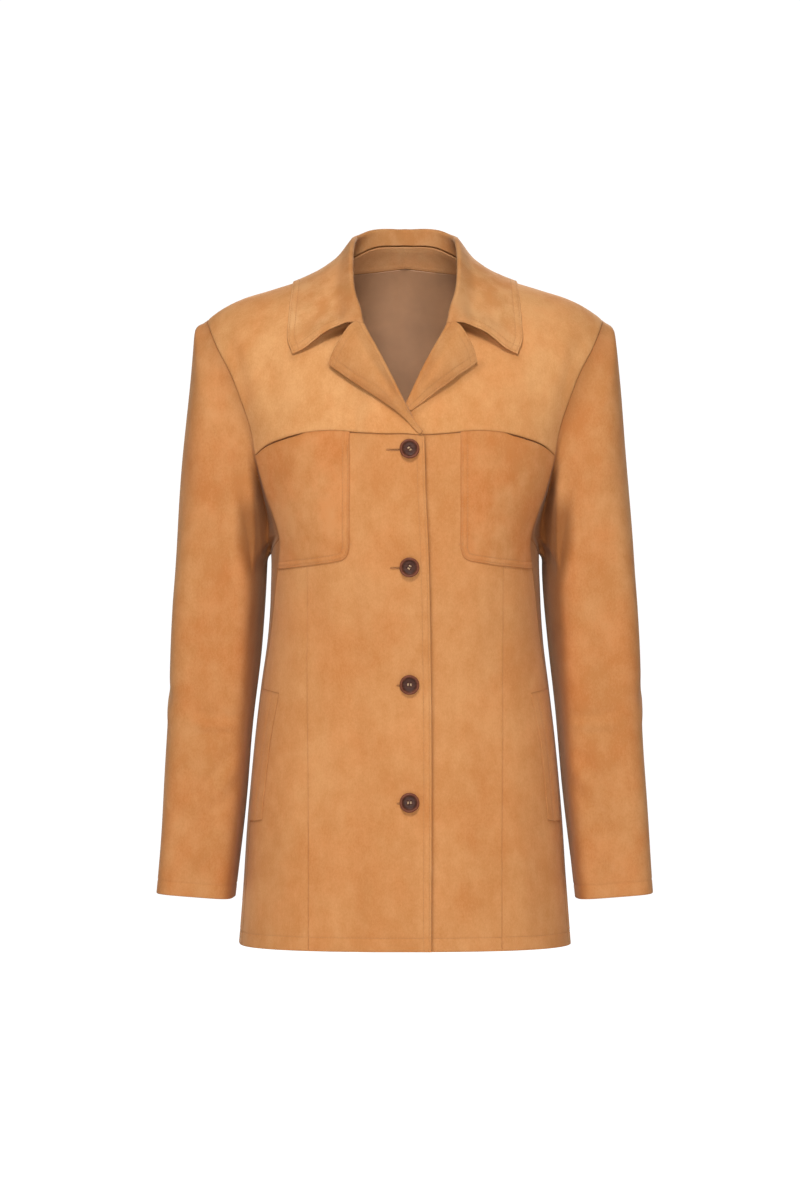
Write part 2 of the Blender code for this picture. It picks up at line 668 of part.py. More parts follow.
def row_at(points, z, col):
    """Fractional row where a column of the grid reaches z."""
    j = np.arange(points.shape[1])
    return np.interp(z, on_grid(points, np.full(len(j), float(col)), j.astype(float))[:, 2], j)


def place_at(points, x, z):
    """Fractional column and row of the place on a grid with this x and z."""
    col = 0.0
    for _ in range(8):
        row = row_at(points, z, col)
        col = column_at(points, x, row)
    return col, row


def lay_on(name, side, cols, rows, gap):
    """A thin wall on the lower front, over fractional columns and rows of its grid."""
    points, out = front_points(side)
    under, up = on_grid(points, cols, rows), unit(on_grid(out, cols, rows))
    wall(name, under + up * (gap + LAY_WALL), under + up * gap, flip=side == RIGHT)


def chest_pocket(side):
    """A patch from the yoke seam down, its outer edge beside the armhole and the side seam."""
    points = front_points(LEFT)[0]
    last = points.shape[0] - 1
    top = points.shape[1] - 1 - 0.045
    lines = np.arange(math.ceil(column_at(points, POCKET_INNER_X, LOW_ROWS)), last + 1)
    foot = [place_at(points, *POCKET_CORNER)]
    for col in lines[:-1]:
        x = on_grid(points, np.array([float(col)]), np.array([LOW_ROWS - 0.4]))[0, 0]
        foot.append((col, row_at(points, read_foot(x), col)))
    foot.append((last - 0.07, row_at(points, read_foot(0.13), last - 0.07)))
    foot = np.array(foot)
    rows = np.array([LOW_ROWS - 0.22, LOW_ROWS, *range(LOW_ROWS + 1, LOW_ROWS + CHEST_ROWS), top], float)
    grid = [foot]
    for row in rows:
        cols = np.concatenate([[column_at(points, POCKET_INNER_X, row)], lines[:-1], [last - 0.07]])
        grid.append(np.stack([cols, np.full(len(cols), row)], axis=-1))
    grid = np.array(grid).swapaxes(0, 1)
    lay_on(sided("chest_pocket", side), side, grid[..., 0], grid[..., 1], LAY_GAP)


def read_foot(x):
    return float(read(POCKET_FOOT, "z", x))


def welt(side):
    """A narrow welt between its slanting mouth and the side seam."""
    points = front_points(LEFT)[0]
    last = points.shape[0] - 1
    foot, head = (place_at(points, WELT_EDGE["x"][k], WELT_EDGE["z"][k])[1] for k in (0, -1))
    grid = []
    whole = stretch(math.ceil(foot), math.floor(head), 2)
    for row in (foot, *whole, head):
        col = last - 1.0
        for _ in range(8):
            level = on_grid(points, np.array([col]), np.array([row]))[0, 2]
            col = column_at(points, read(WELT_EDGE, "x", level), row)
        grid.append([(col, row), (last - 1, row), (last - 0.06, row)])
    grid = np.array(grid).swapaxes(0, 1)
    lay_on(sided("pocket_welt", side), side, grid[..., 0], grid[..., 1], WELT_GAP)


def tube(swing, level):
    """Points of a sleeve's middle surface; swing goes from the outside (0) over the front to the inside."""
    rows = {name: read(SLEEVE, name, level) for name in SLEEVE}
    wide, deep = rows["wide"] - WALL / 2, rows["deep"] - WALL / 2
    cs, sn = np.cos(np.radians(swing)), np.sin(np.radians(swing))
    radius = (np.abs(cs / wide) ** SLEEVE_POWER + np.abs(sn / deep) ** SLEEVE_POWER) ** (-1 / SLEEVE_POWER)
    tilt = CUFF_TILT * ease((-0.312 - level) / 0.343)
    inside = np.where(cs < 0, rows["slant"] * np.clip(radius * sn / deep, 0, 1), 0)
    across = radius * cs * (1 - inside)
    points = [rows["out"] + across, -rows["forward"] - radius * sn, level + tilt * across]
    return np.stack(points, axis=-1)


def armhole_spots():
    """Round the armhole: from the shoulder seam down the front, under the arm and up the back."""
    chest, yoke = arm_rises()
    front = seam_spots(FRONT_SIDE_SEAM, joined(yoke[::-1], chest[::-1]))
    back = seam_spots(BACK_SIDE_SEAM, stretch(0, 90, BACK_ARM_ROWS))
    return joined(front, armhole_bottom(), back)[:-1]


def sleeve_walls():
    """Outer and inner points of the left sleeve, by columns round it and rows down it."""
    spots = armhole_spots()
    seam_out = normal(spots[:, 0], spots[:, 1])
    seam = lay(LEFT, spots, -WALL / 2)
    open_way = unit(np.cross(seam_out, tangents(seam, 0, cyclic=True)))
    forward = -(seam[:, 1] - ARMHOLE_CENTRE[0]) / ARMHOLE_REACH[0]
    high = (seam[:, 2] - ARMHOLE_CENTRE[1]) / ARMHOLE_REACH[1]
    swing = np.unwrap(np.arctan2(forward, high))
    swing = np.degrees(swing - swing[0])
    front = YOKE_ROWS + CHEST_ROWS + FRONT_SEAM_PAST
    rear = front + UNDER_COLS
    count = len(swing)
    lower = [0, FRONT_SLEEVE_SEAM, BACK_SLEEVE_SEAM, 360]
    even = np.interp(np.arange(count), [0, front, rear, count], lower)
    gap = np.linalg.norm((tube(swing, seam[:, 2]) - seam)[:, :2], axis=1)
    join_level = seam[:, 2] - 0.9 * gap - 0.002
    join = tube(swing, join_level)
    reach = (HEAD_PULL * np.linalg.norm(join - seam, axis=1) + 0.005)[:, None]
    down = unit(tube(swing, join_level - 0.002) - join)
    s = HEAD_ROWS[None, :, None]
    start, end = seam[:, None], join[:, None]
    head = start * (1 + 2 * s) * (1 - s) ** 2 + end * s * s * (3 - 2 * s)
    head = head + (open_way * reach)[:, None] * s * (1 - s) ** 2 - (down * reach)[:, None] * s * s * (1 - s)
    levels = join_level[:, None] + (SLEEVE["level"][0] - join_level)[:, None] * TUBE_ROWS
    swings = swing[:, None] + (even - swing)[:, None] * ease(TUBE_ROWS / 0.4)
    middle = np.concatenate([head, tube(swings, levels)], axis=1)
    out = grid_normals(middle, cyclic=True) * WALL / 2
    outer, inner = middle + out, middle - out
    outer[:, 0] = lay(LEFT, spots) + open_way * SEAM_TRIM
    inner[:, 0] = lay(LEFT, spots, -WALL) + open_way * SEAM_TRIM
    return outer, inner, front, rear


def sleeve(side):
    """A top sleeve from seam to seam over the shoulder, and an under sleeve."""
    outer, inner, front, rear = sleeve_walls()
    count = len(outer)
    outer, inner = outer * [side, 1, 1], inner * [side, 1, 1]
    for name, first, last in (("top_sleeve", rear - count, front), ("under_sleeve", front, rear)):
        cols = np.arange(first, last + 1)
        wall(sided(name, side), outer[cols], inner[cols], flip=side == RIGHT, trim=(0,), by=SLEEVE_TRIM)


def facing_and_lining():
    """Two thin walls inside the back, on its own grid, that meet along the facing's lower edge."""
    spots = back_grid()
    outer, inner = (lay(LEFT, spots, -(WALL + INSIDE_GAP + deep)) for deep in (0, LINING_WALL))
    last_col, last_row = outer.shape[0] - 1, outer.shape[1] - 1
    faced = np.arange(FACING_FROM_COL, last_col - FACING_FROM_COL + 1)
    meet = []
    for col in faced:
        heights = outer[col, :, 2] - read(FACING_EDGE, "z", np.abs(outer[col, :, 0]))
        meet.append(np.interp(0, heights, np.arange(last_row + 1)))
    faced_rows = np.stack([meet, np.full(len(faced), last_row)], axis=1)
    grid = np.stack([np.broadcast_to(faced[:, None], faced_rows.shape), faced_rows])
    wall("neck_facing", on_grid(outer, *grid), on_grid(inner, *grid))
    cols = np.arange(last_col + 1.0)
    cols[[0, -1]] = LINING_INSET, last_col - LINING_INSET
    top = np.full(len(cols), last_row - 0.08)
    top[faced] = meet
    rows = np.concatenate([[LINING_HEM], np.arange(1.0, last_row - 1)])
    rows = np.concatenate([np.broadcast_to(rows, (len(cols), len(rows))), top[:, None]], axis=1)
    grid = np.stack([np.broadcast_to(cols[:, None], rows.shape), rows])
    wall("back_lining", on_grid(outer, *grid), on_grid(inner, *grid), "lining")


def button_mesh():
    """A round button turned from its profile, with four thread holes."""
    maker = bmesh.new()
    profile = [maker.verts.new((r, 0, h)) for r, h in zip(*BUTTON_PROFILE.values())]
    edges = [maker.edges.new(pair) for pair in zip(profile, profile[1:])]
    turned = profile + edges
    bmesh.ops.spin(maker, geom=turned, axis=(0, 0, 1), angle=math.tau, steps=BUTTON_SIDES, use_merge=True)
    bmesh.ops.remove_doubles(maker, verts=maker.verts, dist=1e-6)
    bmesh.ops.recalc_face_normals(maker, faces=maker.faces)
    disc = bpy.data.meshes.new("button_disc")
    maker.to_mesh(disc)
    maker.clear()
    for k in range(4):
        way = math.radians(45 + 90 * k)
        at = Matrix.Translation((BUTTON_HOLE_OUT * math.cos(way), BUTTON_HOLE_OUT * math.sin(way), 0.001))
        sizes = {"radius1": BUTTON_HOLE_RADIUS, "radius2": BUTTON_HOLE_RADIUS, "depth": 0.006}
        bmesh.ops.create_cone(maker, cap_ends=True, segments=10, matrix=at, **sizes)
    holes = bpy.data.meshes.new("button_holes")
    maker.to_mesh(holes)
    maker.free()
    pieces = [bpy.data.objects.new(mesh.name, mesh) for mesh in (disc, holes)]
    for piece in pieces:
        bpy.context.scene.collection.objects.link(piece)
    cut = pieces[0].modifiers.new("holes", "BOOLEAN")
    cut.object, cut.operation, cut.solver = pieces[1], "DIFFERENCE", "EXACT"
    mesh = bpy.data.meshes.new_from_object(pieces[0].evaluated_get(bpy.context.evaluated_depsgraph_get()))
    for piece in pieces:
        bpy.data.objects.remove(piece, do_unlink=True)
    return mesh


def buttons():
    points, out = front_points(RIGHT)
    points = points * [-1, 1, 1]
    shape = button_mesh()
    for number, z in enumerate(BUTTON_HEIGHTS, 1):
        col, row = (np.array([value]) for value in place_at(points, -BUTTON_X, z))
        at, up = on_grid(points, col, row)[0] * [-1, 1, 1], on_grid(out, col, row)[0]
        mesh = shape.copy()
        turned = Vector(up).to_track_quat("Z", "Y").to_matrix().to_4x4()
        mesh.transform(Matrix.Translation(at + up * BUTTON_UP) @ turned)
        add_object(f"button_{number}", mesh, "button")


def main():
    for old in list(bpy.data.objects):
        bpy.data.objects.remove(old, do_unlink=True)
    panel("back", LEFT, back_grid())
    facing_and_lining()
    collar()
    for side in (RIGHT, LEFT):
        for name, grid in (
            ("front_centre", front_centre_grid()),
            ("front_side", front_side_grid()),
            ("front_yoke", yoke_grid()),
            ("side_body", side_grid()),
        ):
            panel(sided(name, side), side, grid, lap(side, grid))
        lapel(side)
        chest_pocket(side)
        welt(side)
        sleeve(side)
    buttons()


if __name__ == "__main__":
    main()
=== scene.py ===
"""Builds a napped-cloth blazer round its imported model: cloth panels with seams, folds, stitches and buttons.

The jacket is one body surface cut into panels along its seams. A spot on it has two angles: "turn" goes
round the body, from 0 at the centre front to 180 at the centre back, and "rise" goes up it, from -90 at the
hem to 90 on top of the shoulder. The wearer's left is +X, the front faces -Y, and sizes are in metres.
"""

import math
from collections import namedtuple
from functools import partial

import bpy
import mathutils
import numpy as np
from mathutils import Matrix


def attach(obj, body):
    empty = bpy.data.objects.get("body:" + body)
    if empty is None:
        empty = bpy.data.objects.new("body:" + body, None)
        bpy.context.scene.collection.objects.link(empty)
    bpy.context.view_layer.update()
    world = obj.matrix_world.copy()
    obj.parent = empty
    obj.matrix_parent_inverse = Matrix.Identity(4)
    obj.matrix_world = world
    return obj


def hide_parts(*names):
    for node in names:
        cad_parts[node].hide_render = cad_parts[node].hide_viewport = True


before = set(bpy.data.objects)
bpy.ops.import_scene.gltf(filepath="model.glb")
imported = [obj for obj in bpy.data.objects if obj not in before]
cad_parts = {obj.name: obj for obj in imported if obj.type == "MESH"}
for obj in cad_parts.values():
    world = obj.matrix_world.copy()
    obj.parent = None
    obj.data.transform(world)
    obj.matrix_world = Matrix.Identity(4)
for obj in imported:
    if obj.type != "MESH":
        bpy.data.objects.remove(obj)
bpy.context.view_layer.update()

bl_info = {
    "name": "Napped Blazer",
    "version": (1, 0, 0),
    "blender": (4, 5, 0),
    "location": "View3D > Sidebar > Blazer",
    "description": "Builds a single-breasted blazer of napped cloth, its lining, stitches and buttons",
    "category": "Object",
}

RIGHT, LEFT = -1, 1

# --- The body's form ---

HEM, BUST = -0.705, -0.282
WALL = 0.0016
RIDGE_Y = 0.006
SIDE_POWER, SLEEVE_POWER, ARCH_POWER = 2.5, 2.8, 2.2


def table(columns, *rows):
    """A short table as one array for each named column."""
    return dict(zip(columns.split(), np.array(rows, float).T))


# The body ring at each height. Above the bust line the half width is what the shoulder reaches for.
BODY = table(
    "level half_width front back",
    (-0.705, 0.174, 0.127, 0.124), (-0.64, 0.169, 0.124, 0.121), (-0.564, 0.164, 0.119, 0.114),
    (-0.5, 0.158, 0.115, 0.105), (-0.437, 0.1507, 0.114, 0.099), (-0.387, 0.1443, 0.118, 0.1),
    (-0.337, 0.1412, 0.125, 0.106), (-0.282, 0.142, 0.13, 0.114), (-0.224, 0.159, 0.13, 0.114),
    (-0.16, 0.176, 0.13, 0.114), (-0.1, 0.2, 0.13, 0.114), (-0.05, 0.217, 0.13, 0.114),
    (0.0, 0.2215, 0.13, 0.114),
)
# Height of the top of the shoulder, from the centre of the neck outwards.
RIDGE = table(
    "x z",
    (0.0, 0.05), (0.03, 0.041), (0.05, 0.024), (0.065, 0.009), (0.08, 0.0005), (0.1, -0.007),
    (0.117, -0.0126), (0.144, -0.021), (0.171, -0.0295), (0.185, -0.036), (0.197, -0.0435), (0.205, -0.0495),
    (0.212, -0.057), (0.222, -0.07),
)
# Seams on the front: distance out from the centre front, and height.
YOKE_SEAM = table(
    "x z",
    (-0.03, -0.179), (-0.0195, -0.1783), (0.0, -0.1765), (0.026, -0.1765), (0.046, -0.1749),
    (0.073, -0.1726), (0.092, -0.1734), (0.108, -0.1757), (0.124, -0.1798), (0.144, -0.1877),
    (0.154, -0.196),
)
YOKE_ENDS = (-0.0195, 0.1010, 0.1540)  # where the front edge, princess seam and armhole meet the yoke
PRINCESS_SEAM = table("rise x", (-90, 0.0993), (-68, 0.0994), (-35, 0.1007), (0, 0.1011), (24, 0.101))
FRONT_EDGE = table(
    "rise x",
    (-90, -0.0268), (-33, -0.0267), (-20, -0.0257), (-7.5, -0.0245), (0, -0.0234), (5.5, -0.0218),
    (9.2, -0.0209), (13, -0.0204), (18.4, -0.0195),
)
# Seams at the side: turn at each rise. The armholes are the rows from 0 up.
FRONT_SIDE_SEAM = table(
    "rise turn",
    (-90, 77.0), (-62, 77.0), (-35, 78.0), (-22, 74.5), (-13, 70.0), (-6, 65.5), (0, 61.8), (5, 63.2),
    (12, 65.2), (20, 66.3), (30, 66.2), (41, 66.9), (56, 69.7), (70, 72.5), (80, 73.6), (90, 72.9),
)
BACK_SIDE_SEAM = table(
    "rise turn",
    (-90, 118.0), (-45, 116.0), (0, 112.0), (12, 112.0), (30, 112.5), (50, 111.0), (70, 108.0), (90, 105.1),
)
ARMHOLE_BOTTOM = table("turn rise", (61.8, 0.0), (76.0, -2.6), (90.0, -3.5), (101.0, -2.6), (112.0, 0.0))
# Corners of the neck hole: from the break, low on the front edge, over the gorge (5) to the shoulder seam
# (8), and from there to the centre back. "arch" is degrees over the shoulder, 90 on top of it.
NECK_FRONT = table(
    "corner x arch",
    (0, -0.0195, 18.4), (1, -0.012, 19.6), (2, -0.0024, 22.4), (3, 0.0145, 29.0), (4, 0.0318, 37.0),
    (5, 0.0449, 44.8), (6, 0.0575, 56.0), (7, 0.0617, 72.0), (8, 0.061, 90.0),
)
NECK_BACK = table(
    "corner x arch",
    (0, 0.061, 90.0), (1, 0.0575, 95.0), (2, 0.048, 100.5), (3, 0.026, 107.0), (4, 0.0, 110.0),
)
GORGE = 5


def smooth(at, knots, values):
    """Cubic through the knots, each slope the mean of the slopes on either side, held past the ends."""
    gap = np.diff(knots)
    slope = np.diff(values) / gap
    inner = (slope[:-1] * gap[1:] + slope[1:] * gap[:-1]) / (gap[:-1] + gap[1:])
    tangent = np.concatenate([slope[:1], inner, slope[-1:]])
    at = np.clip(at, knots[0], knots[-1])
    i = np.clip(np.searchsorted(knots, at) - 1, 0, len(knots) - 2)
    t = (at - knots[i]) / gap[i]
    ends = values[i] * (1 + 2 * t) * (1 - t) ** 2 + values[i + 1] * t * t * (3 - 2 * t)
    return ends + gap[i] * t * (1 - t) * (tangent[i] * (1 - t) - tangent[i + 1] * t)


def stacked(*values):
    """Arrays side by side along a new last axis."""
    return np.stack(values, axis=-1)


def read(rows, column, at):
    """A column of a table, read smoothly along its first column."""
    return smooth(np.asarray(at, float), next(iter(rows.values())), rows[column])


def columns(rows, at):
    """All the other columns of a table, read in the same way."""
    return [read(rows, name, at) for name in list(rows)[1:]]


def ease(t):
    """Smooth step from 0 to 1."""
    t = np.clip(t, 0, 1)
    return t * t * (3 - 2 * t)


def ramp(value, first, over):
    """An eased ramp from 0 at the first value to 1 after this much more."""
    return ease((value - first) / over)


def bell(distance, wide):
    """Bell curve: 1 at no distance, about a third at `wide`."""
    return np.exp(-((distance / wide) ** 2))


def unit(v):
    """Vectors brought to length 1."""
    return v / np.maximum(np.linalg.norm(v, axis=-1, keepdims=True), 1e-12)


def level_of(rise):
    """Height that a rise stands for: even below the bust line, the sine of an arch above it."""
    arch = np.sin(np.radians(np.clip(rise, 0, 90)))
    return np.where(rise > 0, BUST * (1 - arch), BUST + (BUST - HEM) * rise / 90)


def ring(level):
    """Half width, front depth and back depth of the body at a height."""
    depth_level = np.minimum(level, BUST)
    return read(BODY, "half_width", level), read(BODY, "front", depth_level), read(BODY, "back", depth_level)


def body(turn, rise):
    """Points of the body: superellipse rings below the bust line, superellipse arches over the shoulder."""
    turn, rise = np.broadcast_arrays(np.asarray(turn, float), np.asarray(rise, float))
    wide, front, back = ring(level_of(rise))
    out, ahead = np.sin(np.radians(turn)), np.cos(np.radians(turn))
    deep = np.where(ahead >= 0, front, back)
    radius = (np.abs(out / wide) ** SIDE_POWER + np.abs(ahead / deep) ** SIDE_POWER) ** (-1 / SIDE_POWER)
    x = radius * out
    up = np.sin(np.radians(np.clip(rise, 0, 90)))
    inward = (1 - up**ARCH_POWER) ** (1 / ARCH_POWER)
    y = RIDGE_Y - (radius * ahead + RIDGE_Y) * inward
    over_bust = BUST + (read(RIDGE, "z", np.abs(x)) - BUST) * up
    return stacked(x, y, np.where(rise > 0, over_bust, level_of(rise)))


def normal(turn, rise, step=0.02):
    """Outward unit normals of the body, from points a step away on each side."""
    rise = np.minimum(rise, 90 - 2 * step)
    around = body(turn + step, rise) - body(turn - step, rise)
    upward = body(turn, rise + step) - body(turn, rise - step)
    return unit(np.cross(around, upward))


def spot(x, arch):
    """(turn, rise) of the place x out from the centre and arch degrees over the shoulder."""
    x, arch = np.broadcast_arrays(np.asarray(x, float), np.asarray(arch, float))
    rise = np.minimum(arch, 180 - arch)
    wide, front, back = ring(level_of(rise))
    deep = np.where(arch > 90, -back, front)
    share = np.clip(np.abs(x) / wide, 0, 1)
    turn = np.degrees(np.arctan2(x, deep * (1 - share**SIDE_POWER) ** (1 / SIDE_POWER)))
    return stacked(turn, rise)


def rise_below(z):
    """Rise of a height below the bust line, where rises are even in height."""
    return 90 * (z - BUST) / (BUST - HEM)


def arch_above(x, z):
    """Degrees up the arch over the shoulder at this x and z, above the bust line."""
    return np.degrees(np.arcsin(np.clip((z - BUST) / (read(RIDGE, "z", np.abs(x)) - BUST), 0, 1)))


def front_spot(x, z):
    """(turn, rise) of the place on the front with this x and z."""
    return spot(x, np.where(z > BUST, arch_above(x, z), rise_below(z)))


def other_half(spots):
    """Spots of the other half, with turns counted on past the centre back."""
    return spots * [-1, 1] + [360, 0]


def lay(side, spots, up=0.0):
    """Points over spots given for one half (turn counted from the centre front towards the side), moved out."""
    turn, rise = side * spots[..., 0], spots[..., 1]
    up = np.broadcast_to(up, turn.shape)[..., None]
    return body(turn, rise) + normal(turn, rise) * up


# The right front lies over the left one: how far it is raised, and where that fades out.
LAP_LOW, LAP_HIGH = 0.0026, 0.0048
LAP_OUT, LAP_RAMP = 0.055, 0.024
LAP_TOP, LAP_FADE = -0.105, 0.030
LAP_THICK_BELOW, LAP_THICK_FADE = -0.245, 0.055


def lap(side, spots):
    """How far the right front is raised: over the under front, and more where the under lapel is tucked in."""
    points = lay(side, spots)
    if side == LEFT:
        return np.zeros(points.shape[:-1])
    x, z = side * points[..., 0], points[..., 2]
    high = LAP_LOW + (LAP_HIGH - LAP_LOW) * ease((z - LAP_THICK_BELOW) / LAP_THICK_FADE)
    return high * ease((LAP_OUT - x) / LAP_RAMP) * ease((LAP_TOP - z) / LAP_FADE)


# --- Grids ---


def stretch(first, last, steps):
    """Even steps between two values, both taken in."""
    return np.linspace(first, last, steps + 1)


def joined(*runs):
    """Runs of values end to end, each shared end taken once."""
    return np.concatenate([runs[0]] + [run[1:] for run in runs[1:]])


def shares(a, b):
    """Where the points of two facing edges stand along them, from 0 to 1, on average."""
    steps = (np.linalg.norm(np.diff(a, axis=0), axis=1) + np.linalg.norm(np.diff(b, axis=0), axis=1)) / 2
    return np.concatenate([[0], np.cumsum(steps)]) / steps.sum()


def coons(left, right, bottom, top):
    """Grid between four edges: left and right run upwards, bottom and top from left to right."""
    u, v = shares(bottom, top)[:, None, None], shares(left, right)[None, :, None]
    sides = (1 - u) * left[None] + u * right[None]
    ends = (1 - v) * bottom[:, None] + v * top[:, None]
    low = (1 - u) * bottom[0] + u * bottom[-1]
    high = (1 - u) * top[0] + u * top[-1]
    return sides + ends - (1 - v) * low - v * high


def tangents(grid, axis, cyclic=False):
    """Unit directions along a grid's lines, each the mean of those before and after its point."""
    lines = np.moveaxis(grid, axis, 0)
    steps = unit(np.diff(np.concatenate([lines, lines[:1]]) if cyclic else lines, axis=0))
    before = np.concatenate([steps[-1:] if cyclic else steps[:1], steps[:-1] if cyclic else steps])
    after = steps if cyclic else np.concatenate([steps, steps[-1:]])
    return np.moveaxis(unit(before + after), 0, axis)


def grid_normals(grid, cyclic=False):
    """Unit directions square to a grid."""
    return unit(np.cross(tangents(grid, 0, cyclic), tangents(grid, 1)))


def lookup(values, cols, rows):
    """Values at fractional columns and rows of a grid, straight between its four nearest points."""
    i = np.clip(np.floor(cols).astype(int), 0, values.shape[0] - 2)
    j = np.clip(np.floor(rows).astype(int), 0, values.shape[1] - 2)
    u, v = (cols - i)[..., None], (rows - j)[..., None]
    near = values[i, j] * (1 - u) + values[i + 1, j] * u
    far = values[i, j + 1] * (1 - u) + values[i + 1, j + 1] * u
    return near * (1 - v) + far * v


def run_lengths(points):
    """Distance along each line of a grid (its first axis) from the line's first point."""
    steps = np.linalg.norm(np.diff(points, axis=0), axis=-1)
    return np.concatenate([np.zeros_like(steps[:1]), np.cumsum(steps, axis=0)])


def at_lengths(at, lengths, values):
    """Values along one line, read straight between its points at these distances along it."""
    return stacked(*(np.interp(at, lengths, values[:, k]) for k in range(values.shape[1])))


def evened(line, steps):
    """A line with its points evenly spaced along it."""
    lengths = run_lengths(line)
    return at_lengths(stretch(0, lengths[-1], steps), lengths, line)


def relined(values, place, first, last, count, most=0.9, gap=10.0):
    """A grid with new points along its first axis: at the distances `first` from the start and `last` from the
    end of each line, which take up at most the share `most` of it, and `count` even steps between. Each line is
    read at those lengths, all at once, by setting the lines end to end, `gap` metres apart."""
    lengths = run_lengths(place(values))
    total = lengths[-1]
    near, far = np.asarray(first, float), np.asarray(last, float)
    fit = np.minimum(1, most * total / (near[-1] + far[-1]))
    start, end = near[:, None] * fit, total - far[::-1, None] * fit
    share = stretch(0, 1, count)[1:-1, None]
    at = np.concatenate([start, start[-1] * (1 - share) + end[0] * share, end])
    apart = gap * np.arange(values.shape[1])
    knots = np.tile(np.arange(values.shape[0], dtype=float), values.shape[1])
    index = np.interp((at + apart).T.ravel(), (lengths + apart).T.ravel(), knots).reshape(values.shape[1], -1).T
    rows = np.broadcast_to(np.arange(values.shape[1], dtype=float), index.shape)
    return lookup(values, index, rows)


def edge_distances(points):
    """Distance of each point of a grid from its left, right, lower and upper edge, along the grid's lines."""
    across, along = run_lengths(points), run_lengths(points.swapaxes(0, 1)).swapaxes(0, 1)
    return across, across[-1:] - across, along, along[:, -1:] - along


# --- Edges, seams and folds ---

# Distances of the grid lines from an edge, closest where the cloth turns in or is sewn.
SEAM_LINES = (0, 0.0002, 0.0006, 0.0011, 0.0017, 0.0026, 0.0040, 0.0065)
FREE_LINES = (0, 0.0002, 0.0006, 0.0011, 0.0018, 0.0030, 0.0050)
TWIN_LINES = (
    *(0, 0.0002, 0.0006, 0.0011, 0.0016, 0.0023, 0.0030, 0.0037, 0.0048),
    *(0.0063, 0.0074, 0.0082, 0.0090, 0.0101, 0.0125),
)
HEM_LINES = (0, 0.0002, 0.0006, 0.0011, 0.0020, 0.0050, 0.0090, 0.0120, 0.0134, 0.0142, 0.0150, 0.0164, 0.0200)

# How each kind of edge is made: its grid lines, how deep its rim lies and from how far out it rolls in, where its
# rows of stitches are, and how much painted shade lies beside it.
Edge = namedtuple("Edge", "lines deep radius stitches dark")
EDGES = {
    "seam": Edge(SEAM_LINES, 0.0012, 0.0016, (), 1.0),
    "flat": Edge(SEAM_LINES, 0.0004, 0.0009, (), 0.22),
    "free": Edge(FREE_LINES, 0.0008, 0.0011, (), 0.15),
    "twin": Edge(TWIN_LINES, 0.0008, 0.0012, (0.0023, 0.0082), 0.15),
    "hem": Edge(HEM_LINES, 0.0008, 0.0012, (0.0142,), 0.25),
}


def first_three(values):
    """The points that a grid's values start with."""
    return values[..., :3]


def regrid(values, kinds, counts, place=first_three):
    """A grid of values on new lines both ways: as the kinds of its left, right, lower and upper edge ask beside
    them, with `counts` even steps between. `place` gives the points of the values."""
    left, right, low, high = (EDGES[kind].lines for kind in kinds)
    values = relined(values, place, left, right, counts[0])
    return relined(values.swapaxes(0, 1), place, low, high, counts[1]).swapaxes(0, 1)


def roll(distance, radius):
    """How far an edge has rolled in: a quarter circle of this radius, ending at the edge."""
    part = np.clip(1 - distance / radius, 0, 1)
    return radius * (1 - np.sqrt(1 - part**2))


def groove(distance, at, deep, wide=0.0011):
    """A soft trough that a row of stitches pulls in, along a line at this distance from an edge."""
    return -deep * bell(distance - at, wide)


def creases(rows, across, up, end=0.2):
    """Soft ridges and troughs: each is a bell across a bowed line between two places, and fades over the share
    `end` of its length on both sides of each place."""
    height = np.zeros(np.broadcast(across, up).shape)
    for x0, z0, x1, z1, bow, wide, rise in zip(*rows.values()):
        run_x, run_z = x1 - x0, z1 - z0
        length = math.hypot(run_x, run_z)
        along = ((across - x0) * run_x + (up - z0) * run_z) / length**2
        aside = ((across - x0) * run_z - (up - z0) * run_x) / length - 4 * bow * along * (1 - along)
        fade = ease((along + end) / (2 * end)) * ease((1 + end - along) / (2 * end))
        height += rise * bell(aside, wide) * fade
    return height


# Folds of the front, measured out from the centre and up: ends, bow, width and height.
FRONT_FOLDS = table(
    "x0 z0 x1 z1 bow wide rise",
    (0.186, -0.07, 0.165, -0.15, 0.004, 0.01, -0.001), (0.171, -0.062, 0.152, -0.16, 0.003, 0.012, 0.0008),
    (0.15, -0.085, 0.128, -0.158, 0.003, 0.011, -0.0005),
    (0.092, -0.11, 0.06, -0.152, 0.004, 0.012, -0.0006), (0.12, -0.33, 0.106, -0.42, 0.003, 0.014, 0.0006),
    (0.104, -0.33, 0.088, -0.44, 0.002, 0.012, -0.0005), (0.074, -0.35, 0.066, -0.47, -0.003, 0.016, 0.0006),
    (0.088, -0.48, 0.084, -0.64, 0.004, 0.013, -0.0006), (0.118, -0.52, 0.122, -0.69, 0.002, 0.016, 0.0007),
    (0.052, -0.5, 0.046, -0.66, -0.004, 0.018, 0.0006), (0.026, -0.62, 0.02, -0.69, 0.002, 0.01, -0.0007),
    (0.14, -0.58, 0.146, -0.69, 0.003, 0.012, -0.0008),
)
BACK_FOLDS = table(
    "x0 z0 x1 z1 bow wide rise",
    (0.165, -0.07, 0.14, -0.19, 0.006, 0.014, -0.0012), (0.14, -0.08, 0.118, -0.2, 0.005, 0.015, 0.0008),
    (0.11, -0.23, 0.06, -0.3, 0.008, 0.014, -0.0008), (0.125, -0.35, 0.06, -0.372, 0.004, 0.009, -0.0012),
    (0.13, -0.375, 0.05, -0.398, 0.005, 0.01, 0.0011), (0.125, -0.4, 0.07, -0.425, 0.004, 0.009, -0.001),
    (0.075, -0.45, 0.085, -0.66, 0.005, 0.02, 0.0014), (0.035, -0.47, 0.04, -0.68, -0.004, 0.018, -0.001),
    (0.12, -0.48, 0.128, -0.68, 0.004, 0.018, -0.001),
)


